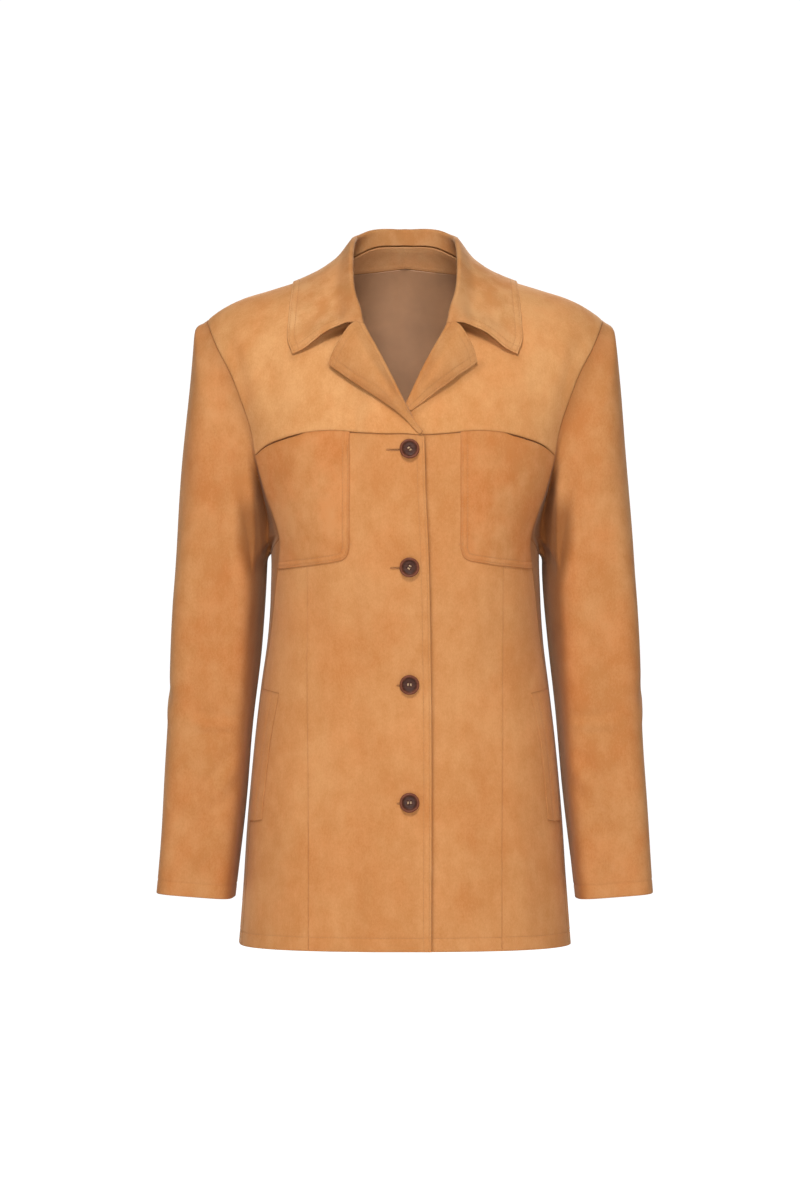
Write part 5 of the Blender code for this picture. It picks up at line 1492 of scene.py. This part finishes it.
class Graph:
    """Adds nodes to a tree and links them."""

    def __init__(self, tree):
        self.tree = tree

    def set(self, node, **inputs):
        """Gives a node's inputs values, or links them to other nodes' outputs. An input goes by its name, with _
        for a space, or by its number, as in0."""
        for name, value in inputs.items():
            key = int(name[2:]) if name.startswith("in") and name[2:].isdigit() else name.replace("_", " ")
            if isinstance(value, bpy.types.NodeSocket):
                self.tree.links.new(value, node.inputs[key])
            else:
                node.inputs[key].default_value = value
        return node

    def add(self, kind, settings=(), **inputs):
        """A new node with its settings and inputs."""
        node = self.tree.nodes.new("ShaderNode" + kind)
        for name, value in dict(settings).items():
            setattr(node, name, value)
        return self.set(node, **inputs)

    def math(self, operation, *values):
        """One step of arithmetic."""
        return self.add("Math", {"operation": operation}, **{f"in{k}": v for k, v in enumerate(values)}).outputs[0]

    def span(self, value, low, high, to_low=0.0, to_high=1.0):
        """A value mapped from one span to another, held at both ends."""
        named = {"From_Min": low, "From_Max": high, "To_Min": to_low, "To_Max": to_high}
        return self.add("MapRange", {"clamp": True}, Value=value, **named).outputs["Result"]

    def mix(self, factor, first, second, blend="MIX"):
        """Two colours mixed."""
        settings = {"data_type": "RGBA", "blend_type": blend}
        return self.add("Mix", settings, in0=factor, in6=first, in7=second).outputs[2]

    def stretched(self, vector, *by):
        """A vector multiplied along x, y and z."""
        return self.add("VectorMath", {"operation": "MULTIPLY"}, in0=vector, in1=by).outputs[0]

    def noise(self, vector, scale, detail=2.0, roughness=0.5):
        """Noise of this many changes a metre."""
        return self.add("TexNoise", Vector=vector, Scale=scale, Detail=detail, Roughness=roughness).outputs["Fac"]

    def marked(self):
        """The mark that the mesh carries, from 0 to 1: painted shade on cloth, the rim on a button."""
        return self.add("Attribute", {"attribute_name": "seam"}).outputs["Fac"]


def once(store):
    """Makes a material or node group the first time its name is asked for, and finds it after that."""

    def wrap(make):
        def find(name, *values):
            made = getattr(bpy.data, store)
            return made[name] if name in made else make(name, *values)

        return find

    return wrap


def new_group(name, inputs, outputs):
    """An empty shader node group with named sockets: (name, socket type, default)."""
    tree = bpy.data.node_groups.new(name, "ShaderNodeTree")
    for label, kind, default in inputs:
        socket = tree.interface.new_socket(name=label, in_out="INPUT", socket_type="NodeSocket" + kind)
        if default is not None:
            socket.default_value = default
    for label, kind in outputs:
        tree.interface.new_socket(name=label, in_out="OUTPUT", socket_type="NodeSocket" + kind)
    return Graph(tree), tree.nodes.new("NodeGroupInput").outputs, tree.nodes.new("NodeGroupOutput")


# The nap's patterns, in changes a metre: large and middle blotches, warm ones, streaks, grain and fine felt.
LARGE, MIDDLE, WARM, STREAK, GRAIN, FELT = 13.0, 52.0, 23.0, 190.0, 620.0, 1700.0
NAP_ROUGH, NAP_SMOOTH, FELT_TALL, STREAK_TALL = 0.95, 0.82, 0.10, 0.05
# The tint of warm blotches, and the deep brown of the painted shade with how far the shade goes towards it.
WARM_TINT, SHADE_TINT, SHADE_SHARE = (1.0, 0.82, 0.70, 1), (0.42, 0.34, 0.28, 1), 0.75
RIB_TINT, RIB_SLANT = 0.03, 0.7


@once("node_groups")
def nap_group(name):
    """Napped cloth: blotches of stroked nap about 80 mm and 20 mm wide, streaks that run down the cloth, and a
    fine felted grain of 1 to 3 mm; the mark it is given darkens it to a deep brown, as painted shade. Gives the
    colour, roughness and height of the nap in millimetres."""
    inputs = (
        ("Vector", "Vector", None),
        ("Colour", "Color", (0.6, 0.27, 0.1, 1)),
        ("Dark", "Color", (0.5, 0.21, 0.075, 1)),
        ("Blotches", "Float", 0.5),
        ("Streaks", "Float", 0.35),
        ("Grain", "Float", 0.3),
        ("Warmth", "Float", 0.4),
        ("Seam", "Float", 0.0),
    )
    g, given, out = new_group(name, inputs, (("Color", "Color"), ("Roughness", "Float"), ("Height", "Float")))
    bent = g.stretched(given["Vector"], 1.0, 1.0, 0.75)
    large, middle = g.noise(bent, LARGE, 3.0, 0.6), g.noise(bent, MIDDLE, 4.0, 0.65)
    streaks = g.noise(g.stretched(given["Vector"], 1.0, 1.0, 0.10), STREAK, 3.0, 0.6)
    short = g.stretched(given["Vector"], 1.0, 1.0, 0.6)
    grain, fine = g.noise(short, GRAIN, 3.0, 0.65), g.noise(short, FELT, 2.0, 0.6)
    blotch = g.math("ADD", g.span(large, 0.36, 0.64, -0.5, 0.5), g.span(middle, 0.35, 0.65, -0.4, 0.4))
    felt = g.math("ADD", g.span(grain, 0.3, 0.7, -0.5, 0.5), g.span(fine, 0.3, 0.7, -0.3, 0.3))
    shade = g.math("MULTIPLY", blotch, given["Blotches"])
    for part, share in ((g.span(streaks, 0.3, 0.7, -0.5, 0.5), "Streaks"), (felt, "Grain")):
        shade = g.math("ADD", shade, g.math("MULTIPLY", part, given[share]))
    colour = g.mix(g.span(shade, -0.5, 0.5), given["Dark"], given["Colour"])
    warm = g.math("MULTIPLY", g.span(g.noise(bent, WARM, 3.0, 0.6), 0.42, 0.66), given["Warmth"])
    colour = g.mix(warm, colour, g.mix(1.0, colour, WARM_TINT, "MULTIPLY"))
    # Painted shade: the mark darkens the colour towards a deep brown.
    sewn = g.mix(1.0, given["Dark"], SHADE_TINT, "MULTIPLY")
    colour = g.mix(g.math("MULTIPLY", given["Seam"], SHADE_SHARE), colour, sewn)
    tall = g.math("MULTIPLY", g.span(streaks, 0.3, 0.7), STREAK_TALL)
    height = g.math("ADD", g.math("MULTIPLY", felt, FELT_TALL), tall)
    g.set(out, Color=colour, Roughness=g.span(shade, -0.5, 0.5, NAP_ROUGH, NAP_SMOOTH), Height=height)
    return g.tree


@once("node_groups")
def twill_group(name):
    """Smooth lining cloth: very fine slanting ribs and slow changes of tone. Gives colour and height."""
    inputs = (("Vector", "Vector", None), ("Colour", "Color", (0.2, 0.09, 0.05, 1)), ("Ribs", "Float", 900.0))
    g, given, out = new_group(name, inputs, (("Color", "Color"), ("Height", "Float")))
    parts = g.add("SeparateXYZ", Vector=given["Vector"]).outputs
    slant = g.math("ADD", parts["X"], g.math("MULTIPLY", parts["Z"], RIB_SLANT))
    rib = g.math("SINE", g.math("MULTIPLY", slant, g.math("MULTIPLY", given["Ribs"], math.tau)))
    tone = g.span(g.noise(given["Vector"], 26.0, 3.0), 0.3, 0.7, 0.86, 1.1)
    shade = g.math("ADD", tone, g.math("MULTIPLY", rib, RIB_TINT))
    grey = g.add("CombineColor", Red=shade, Green=shade, Blue=shade).outputs[0]
    g.set(out, Color=g.mix(1.0, given["Colour"], grey, "MULTIPLY"), Height=rib)
    return g.tree


def new_material(name):
    """A material with nodes, its Principled shader and its Object coordinates."""
    material = bpy.data.materials.new(name)
    material.use_nodes = True
    graph = Graph(material.node_tree)
    return material, graph, material.node_tree.nodes["Principled BSDF"], graph.add("TexCoord").outputs["Object"]


def tint(colour, *by):
    """A colour with each of its parts multiplied, or as it is."""
    return (*(part * share for part, share in zip(colour, by or (1, 1, 1))), 1.0)


@once("materials")
def cloth_material(name, colour, offset, blotches, warmth):
    """Napped cloth in one of its tones, cut from its own part of the nap's pattern."""
    material, graph, shader, place = new_material(name)
    place = graph.add("Mapping", Vector=place, Location=offset).outputs[0]
    # The mark on the mesh brings in the painted shade.
    amounts = {"Blotches": blotches, "Streaks": 0.14, "Grain": 0.55, "Warmth": warmth, "Seam": graph.marked()}
    colours = {"Colour": tint(colour), "Dark": tint(colour, 0.85, 0.75, 0.63)}
    nap = graph.add("Group", {"node_tree": nap_group("Nap")}, Vector=place, **colours, **amounts).outputs
    bump = graph.add("Bump", Height=nap["Height"], Distance=0.0010, Strength=0.45)
    graph.set(shader, Base_Color=nap["Color"], Roughness=nap["Roughness"], Normal=bump.outputs[0])
    graph.set(shader, Specular_IOR_Level=0.12, Sheen_Weight=0.18, Sheen_Roughness=0.45)
    graph.set(shader, Sheen_Tint=(1.0, 0.78, 0.56, 1))
    return material


@once("materials")
def lining_material(name, colour):
    """Ribbed lining cloth with a dull shine."""
    material, graph, shader, place = new_material(name)
    ribs = {"node_tree": twill_group("Lining twill")}
    twill = graph.add("Group", ribs, Vector=place, Colour=tint(colour)).outputs
    bump = graph.add("Bump", Height=twill["Height"], Distance=0.0001, Strength=0.15)
    graph.set(shader, Base_Color=twill["Color"], Normal=bump.outputs[0], Roughness=0.5, Sheen_Weight=0.15)
    return material


@once("materials")
def thread_material(name, colour):
    """Spun thread: fine plies, darker between them."""
    material, graph, shader, place = new_material(name)
    ply = graph.noise(place, 2400.0, 2.0, 0.7)
    tone = graph.mix(graph.span(ply, 0.3, 0.7), tint(colour, 0.72, 0.70, 0.66), tint(colour))
    bump = graph.add("Bump", Height=ply, Distance=0.0002, Strength=0.6)
    graph.set(shader, Base_Color=tone, Normal=bump.outputs[0], Roughness=0.75, Specular_IOR_Level=0.25)
    return material


@once("materials")
def button_material(name, colour):
    """Dark horn-like plastic: slow brown figure and flecks, a lighter rim round the darker dish, lighter sharp
    edges and a soft polish."""
    material, graph, shader, place = new_material(name)
    figure = graph.noise(graph.stretched(place, 1.0, 1.0, 3.0), 150.0, 4.0, 0.6)
    fleck = graph.noise(place, 900.0, 2.0, 0.5)
    tone = graph.mix(graph.span(figure, 0.35, 0.68), tint(colour, 0.55, 0.5, 0.45), tint(colour))
    tone = graph.mix(graph.span(fleck, 0.62, 0.8, 0.0, 0.35), tone, tint(colour, 2.0, 1.8, 1.6))
    pointed = graph.span(graph.add("NewGeometry").outputs["Pointiness"], 0.515, 0.56)
    tone = graph.mix(graph.math("MULTIPLY", pointed, 0.5), tone, tint(colour, 2.4, 2.2, 2.0))
    dish = graph.mix(1.0, tone, (0.58, 0.66, 0.78, 1), "MULTIPLY")
    bump = graph.add("Bump", Height=fleck, Distance=0.0001, Strength=0.2)
    graph.set(shader, Base_Color=graph.mix(graph.marked(), dish, tone), Normal=bump.outputs[0])
    graph.set(shader, Roughness=graph.span(figure, 0.3, 0.7, 0.42, 0.55), Specular_IOR_Level=0.18)
    graph.set(shader, Coat_Weight=0.04, Coat_Roughness=0.2)
    return material


def stage_material(name, colour, glow):
    """A pale, nearly even surface that looks lit from within to the camera only."""
    material, graph, shader, place = new_material(name)
    patches = graph.span(graph.noise(place, 3.0, 2.0), 0.3, 0.7)
    seen = graph.add("LightPath").outputs["Is Camera Ray"]
    graph.set(shader, Base_Color=graph.mix(patches, tint(colour), tint(colour, 0.985, 0.985, 0.985)))
    graph.set(shader, Roughness=0.9, Specular_IOR_Level=0.1, Emission_Color=(1, 1, 1, 1))
    graph.set(shader, Emission_Strength=graph.span(seen, 0.0, 1.0, 0.0, glow))
    return material


# --- Settings ---


def amount(name, description, default, unit="NONE"):
    """A size, power or brightness that a user can set."""
    return bpy.props.FloatProperty(name=name, description=description, default=default, unit=unit)


def colour_of(name, description, *default):
    """A colour that a user can set."""
    settings = {"name": name, "description": description, "default": default}
    return bpy.props.FloatVectorProperty(**settings, subtype="COLOR", size=3)


class BlazerSewing(bpy.types.PropertyGroup):
    stitch_length: amount("Stitch length", "From one stitch to the next", 0.0032, "LENGTH")
    thread_radius: amount("Thread radius", "Half the thickness of the sewing thread", 0.00026, "LENGTH")
    hem_fold: amount("Hem fold", "Thickness of the cloth turned up inside the hem", 0.0013, "LENGTH")


class BlazerColours(bpy.types.PropertyGroup):
    body: colour_of("Body", "Cloth of the body", 0.645, 0.300, 0.113)
    yoke: colour_of("Yoke", "Cloth of the front yokes", 0.705, 0.352, 0.139)
    pocket: colour_of("Pockets", "Cloth of the chest pockets", 0.628, 0.284, 0.105)
    sleeve: colour_of("Sleeves", "Cloth of the sleeves", 0.595, 0.274, 0.103)
    collar: colour_of("Collar", "Cloth of the collar", 0.685, 0.353, 0.146)
    lapel: colour_of("Lapels", "Cloth of the lapels", 0.605, 0.290, 0.110)
    facing: colour_of("Facing", "Neck facing", 0.76, 0.41, 0.19)
    lining: colour_of("Lining", "Lining of the back", 0.50, 0.265, 0.135)
    thread: colour_of("Thread", "Sewing thread", 0.60, 0.27, 0.10)
    button_thread: colour_of("Button thread", "Thread in the buttons", 0.62, 0.42, 0.26)
    button: colour_of("Buttons", "Material of the buttons", 0.150, 0.048, 0.026)
    # The buttonholes' cuts hold a near-black lens: painted shade.
    slit: colour_of("Slits", "Inside of the buttonholes", 0.035, 0.015, 0.008)


class BlazerStage(bpy.types.PropertyGroup):
    floor: colour_of("Floor", "Floor and backdrop", 0.93, 0.93, 0.93)
    key_power: amount("Key light", "Power of the large light above the front", 108.0, "POWER")
    front_power: amount("Front light", "Power of the soft light straight in front", 52.0, "POWER")
    fill_power: amount("Fill light", "Power of the lights at the sides", 6.0, "POWER")
    back_power: amount("Back light", "Power of the light behind, for views of the back", 110.0, "POWER")
    floor_glow: amount("Floor glow", "Light given off by the floor", 1.1)
    backdrop: amount("Backdrop", "Brightness of the surroundings as the camera sees them", 1.05)
    world: amount("Surroundings", "Brightness of the surroundings", 0.05)


class BlazerSettings(bpy.types.PropertyGroup):
    sewing: bpy.props.PointerProperty(type=BlazerSewing)
    colours: bpy.props.PointerProperty(type=BlazerColours)
    stage: bpy.props.PointerProperty(type=BlazerStage)


# --- Operators ---

# The cloth's tones: where each is cut from the nap's pattern, how blotched it is and how warm its blotches are.
TONES = {
    "body": ((0.0, 0.0, 0.0), 0.50, 0.35),
    "yoke": ((0.3, 0.6, 0.1), 0.55, 0.45),
    "sleeve": ((0.4, 0.2, 0.7), 0.60, 0.60),
    "pocket": ((0.7, 0.5, 0.2), 0.75, 0.70),
    "collar": ((0.1, 0.9, 0.3), 0.90, 0.60),
    "lapel": ((0.8, 0.1, 0.5), 0.65, 0.40),
    "facing": ((0.2, 0.3, 0.6), 0.35, 0.35),
}

# What the panels' edges are, in the order left, right, lower, upper.
PANEL_EDGES = ("seam", "seam", "hem", "seam")


def cloth(context, tone):
    """The napped cloth of one part of the jacket."""
    colour = tuple(getattr(context.scene.blazer.colours, tone))
    return cloth_material(tone.capitalize() + " cloth", colour, *TONES[tone])


def add_cloth(name, mesh, material):
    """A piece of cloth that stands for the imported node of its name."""
    add_piece("cloth_" + name, mesh, material, (name,))


def add_stitches(context, name, runs, pitch=1.0, radius=1.0):
    """The stitches of a piece, as one piece of thread."""
    sewing = context.scene.blazer.sewing
    step, thick = sewing.stitch_length * pitch, sewing.thread_radius * radius
    tubes = np.concatenate([stitch_points(line, up, step, thick) for line, up in runs if len(line) > 2])
    material = thread_material("Sewing thread", context.scene.blazer.colours.thread)
    add_piece("stitches_" + name, tubes_mesh("stitches_" + name, tubes), material)


class BlazerOperator:
    """What the operators share: they undo as one step."""

    bl_options = {"REGISTER", "UNDO"}


class BLAZER_OT_back(BlazerOperator, bpy.types.Operator):
    """The back, its lining and the neck facing"""

    bl_idname = "blazer.back"
    bl_label = "Back and lining"

    def execute(self, context):
        fold = context.scene.blazer.sewing.hem_fold
        mesh, runs = cloth_panel("back", LEFT, back_grid(), PANEL_EDGES, (90, 180), back_up, hem_fold=fold)
        add_cloth("back", mesh, cloth(context, "body"))
        add_stitches(context, "back_hem", runs)
        add_cloth("neck_facing", facing_mesh("neck_facing"), cloth(context, "facing"))
        lining = lining_material("Lining", context.scene.blazer.colours.lining)
        add_cloth("back_lining", lining_mesh("back_lining"), lining)
        return {"FINISHED"}


class BLAZER_OT_sides(BlazerOperator, bpy.types.Operator):
    """The side panels under the arms"""

    bl_idname = "blazer.sides"
    bl_label = "Side panels"

    def execute(self, context):
        fold = context.scene.blazer.sewing.hem_fold
        for side in (RIGHT, LEFT):
            name = sided("side_body", side)
            up = partial(side_up, side)
            mesh, runs = cloth_panel(name, side, side_grid(), PANEL_EDGES, (24, 150), up, hem_fold=fold)
            add_cloth(name, mesh, cloth(context, "body"))
            add_stitches(context, name + "_hem", runs)
        return {"FINISHED"}


class BLAZER_OT_fronts(BlazerOperator, bpy.types.Operator):
    """The front panels and the yokes over them"""

    bl_idname = "blazer.fronts"
    bl_label = "Fronts and yokes"

    def execute(self, context):
        fold = context.scene.blazer.sewing.hem_fold
        trims = ((0.008, 0), (0, 0), (0.004, 0), (0, 0))
        for side in (RIGHT, LEFT):
            edge_up = partial(front_up, side, EDGE_PROUD if side == RIGHT else 0.0)
            up, high_up = partial(front_up, side, 0.0), partial(yoke_up, side)
            panels = (
                ("front_centre", front_centre_grid(), ("twin", "flat", "hem", "seam"), (64, 180), edge_up, fold),
                ("front_side", front_side_grid(), ("flat", "seam", "hem", "seam"), (34, 190), up, fold),
                ("front_yoke", yoke_grid(), ("seam",) * 4, (90, 80), high_up, 0.0),
            )
            for label, base, kinds, counts, up_at, turned in panels:
                name = sided(label, side)
                mesh, runs = cloth_panel(name, side, base, kinds, counts, up_at, trims, turned)
                add_cloth(name, mesh, cloth(context, "yoke" if label == "front_yoke" else "body"))
                if runs:
                    add_stitches(context, name, runs)
        return {"FINISHED"}


class BLAZER_OT_pockets(BlazerOperator, bpy.types.Operator):
    """The chest pockets and the welts of the lower pockets"""

    bl_idname = "blazer.pockets"
    bl_label = "Pockets"

    def execute(self, context):
        for side in (RIGHT, LEFT):
            name = sided("chest_pocket", side)
            mesh, runs = pocket_mesh(name, side)
            add_cloth(name, mesh, cloth(context, "pocket"))
            add_stitches(context, name, runs)
            name = sided("pocket_welt", side)
            mesh, runs, tacks = welt_mesh(name, side)
            add_cloth(name, mesh, cloth(context, "body"))
            add_stitches(context, name, runs)
            add_stitches(context, name + "_tack", tacks, WELT_PITCH, WELT_THICKER)
        return {"FINISHED"}


class BLAZER_OT_lapels(BlazerOperator, bpy.types.Operator):
    """The lapels, the right one over the left one"""

    bl_idname = "blazer.lapels"
    bl_label = "Lapels"

    def execute(self, context):
        kinds = ("free", "twin", "seam", "twin")
        trims = ((0, 0), (0.003, 0.001), (0, 0), (0.030, 0.001))
        for side in (RIGHT, LEFT):
            name = sided("lapel", side)
            middle = lapel_middle(side)
            mesh, runs = folded_cloth(name, middle, kinds, (56, 56), side, trims, lapel_relief, WALL)
            add_cloth(name, mesh, cloth(context, "lapel"))
            add_stitches(context, name, runs)
        return {"FINISHED"}


class BLAZER_OT_collar(BlazerOperator, bpy.types.Operator):
    """The collar, from the neck seam over its fold"""

    bl_idname = "blazer.collar"
    bl_label = "Collar"

    def execute(self, context):
        half = collar_half()
        middle = joined(half[::-1] * [-1, 1, 1], half)
        trims = ((0.030, 0.001), (0.030, 0.001), (0, 0), (0.001, 0.001))
        kinds = ("twin", "twin", "flat", "twin")
        mesh, runs = folded_cloth("collar", middle, kinds, (150, 56), LEFT, trims, collar_relief, stand=0.036)
        add_cloth("collar", mesh, cloth(context, "collar"))
        add_stitches(context, "collar", runs)
        return {"FINISHED"}


class BLAZER_OT_sleeves(BlazerOperator, bpy.types.Operator):
    """The sleeves: top sleeve and under sleeve"""

    bl_idname = "blazer.sleeves"
    bl_label = "Sleeves"

    def execute(self, context):
        parts = (
            ("top_sleeve", BACK_SEAM_COL - ARMHOLE_COLS, FRONT_SEAM_COL, 84),
            ("under_sleeve", FRONT_SEAM_COL, BACK_SEAM_COL, 26),
        )
        kinds = ("flat", "flat", "seam", "hem")
        for side in (RIGHT, LEFT):
            for label, first, last, count in parts:
                name = sided(label, side)
                mesh = sleeve_strip(side, first, last, kinds, (count, 190), name)
                add_cloth(name, mesh, cloth(context, "sleeve"))
        return {"FINISHED"}


class BLAZER_OT_buttons(BlazerOperator, bpy.types.Operator):
    """The buttons with their thread, and the buttonholes beside them"""

    bl_idname = "blazer.buttons"
    bl_label = "Buttons"

    def execute(self, context):
        colours = context.scene.blazer.colours
        plastic = button_material("Button plastic", colours.button)
        pale = thread_material("Button thread", colours.button_thread)
        silk = thread_material("Buttonhole thread", tint(colours.thread, 0.80, 0.74, 0.68))
        dark = thread_material("Buttonhole slit", colours.slit)
        face, back, rim = button_points()
        out = HOLE_OUT * math.sqrt(0.5)
        bars = np.concatenate([bar_points(np.array([-out, y, 0.0]), np.array([out, y, 0.0])) for y in (-out, out)])
        for number in range(4):
            place, axes = button_frame(number)
            name = f"button_{number + 1}"
            mesh = shell_mesh(name, place + face @ axes, place + back @ axes, False, rim)
            add_piece("turned_" + name, mesh, plastic, (name,))
            add_piece("thread_" + name, tubes_mesh("thread", place + bars @ axes), pale)
            add_piece(f"buttonhole_{number + 1}", buttonhole_mesh("bead", number), silk)
            # The dark lens in each cut is painted shade.
            add_piece(f"slit_{number + 1}", slit_mesh("slit", number), dark)
        return {"FINISHED"}


# The studio's lights: name, place, point aimed at, width and height, and the setting that holds its power.
LIGHTS = (
    ("key", (-0.35, -2.7, 2.6), (0, 0, -0.3), (1.1, 0.8), "key_power"),
    ("front", (0.2, -4.2, -0.1), (0, 0, -0.3), (1.6, 1.6), "front_power"),
    ("fill_right", (2.6, -2.4, 0.4), (0, 0, -0.35), (1.6, 2.2), "fill_power"),
    ("fill_left", (-2.6, -2.4, 0.2), (0, 0, -0.35), (1.6, 2.2), "fill_power"),
    ("behind", (0.4, 3.2, 1.6), (0, 0, -0.2), (2.0, 1.6), "back_power"),
)
FLOOR_LEVEL, FLOOR_HALF, FLOOR_STEPS = -1.15, 7, 14
CAMERA_PLACE, CAMERA_LENS, CAMERA_SENSOR = (-0.00525, -4.5, -0.3455), 128.57, 36.0


def add_object(name, data):
    """A new object in the scene."""
    thing = bpy.data.objects.new(name, data)
    bpy.context.scene.collection.objects.link(thing)
    return thing


def add_light(name, place, aim, size, power):
    """A rectangular light at a place, aimed at a point."""
    lamp = bpy.data.lights.new(name, "AREA")
    lamp.shape, lamp.size, lamp.size_y, lamp.energy = "RECTANGLE", *size, power
    light = add_object(name, lamp)
    light.location = place
    light.rotation_euler = mathutils.Vector(np.subtract(place, aim)).to_track_quat("Z", "Y").to_euler()


class BLAZER_OT_stage(BlazerOperator, bpy.types.Operator):
    """The pale floor and backdrop, the lights and the camera"""

    bl_idname = "blazer.stage"
    bl_label = "Stage"

    def execute(self, context):
        stage, scene = context.scene.blazer.stage, context.scene
        side = stretch(-FLOOR_HALF, FLOOR_HALF, FLOOR_STEPS)
        u, v = np.meshgrid(side, side, indexing="ij")
        points = stacked(u, v, np.full_like(u, FLOOR_LEVEL))
        mesh = mesh_of("floor", points.reshape(-1, 3), grid_quads(np.arange(u.size).reshape(u.shape)))
        mesh.materials.append(stage_material("Floor", stage.floor, stage.floor_glow))
        add_object("floor", mesh)
        for name, place, aim, size, power in LIGHTS:
            add_light(name, place, aim, size, getattr(stage, power))
        world = scene.world = scene.world or bpy.data.worlds.new("Studio")
        world.use_nodes = True
        graph = Graph(world.node_tree)
        seen = graph.add("LightPath").outputs["Is Camera Ray"]
        strength = graph.span(seen, 0.0, 1.0, stage.world, stage.backdrop)
        graph.set(world.node_tree.nodes["Background"], Color=(1, 1, 1, 1), Strength=strength)
        lens = bpy.data.cameras.new("camera")
        lens.sensor_width, lens.lens = CAMERA_SENSOR, CAMERA_LENS
        camera = scene.camera = add_object("camera", lens)
        camera.location, camera.rotation_euler = CAMERA_PLACE, (math.radians(90), 0, 0)
        scene.view_settings.view_transform = "Standard"
        return {"FINISHED"}


class BLAZER_PT_panel(bpy.types.Panel):
    """The blazer's settings and pieces"""

    bl_idname = "BLAZER_PT_panel"
    bl_label = "Blazer"
    bl_space_type = "VIEW_3D"
    bl_region_type = "UI"
    bl_category = "Blazer"

    def draw(self, context):
        for title in ("sewing", "colours", "stage"):
            group = getattr(context.scene.blazer, title)
            box = self.layout.box()
            box.label(text=title.capitalize())
            for name in group.__annotations__:
                box.prop(group, name)
        column = self.layout.column(align=True)
        for operator in OPERATORS:
            column.operator(operator.bl_idname, text=operator.bl_label)


OPERATORS = (
    BLAZER_OT_back,
    BLAZER_OT_sides,
    BLAZER_OT_fronts,
    BLAZER_OT_pockets,
    BLAZER_OT_lapels,
    BLAZER_OT_collar,
    BLAZER_OT_sleeves,
    BLAZER_OT_buttons,
    BLAZER_OT_stage,
)
CLASSES = (BlazerSewing, BlazerColours, BlazerStage, BlazerSettings, *OPERATORS, BLAZER_PT_panel)


def register():
    """Makes the settings, operators and panel known."""
    for cls in CLASSES:
        bpy.utils.register_class(cls)
    bpy.types.Scene.blazer = bpy.props.PointerProperty(type=BlazerSettings)


def unregister():
    """Takes them away again."""
    del bpy.types.Scene.blazer
    for cls in reversed(CLASSES):
        bpy.utils.unregister_class(cls)


def main():
    """Registers the add-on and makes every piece."""
    register()
    for operator in OPERATORS:
        group, name = operator.bl_idname.split(".")
        getattr(getattr(bpy.ops, group), name)()


if __name__ == "__main__":
    main()
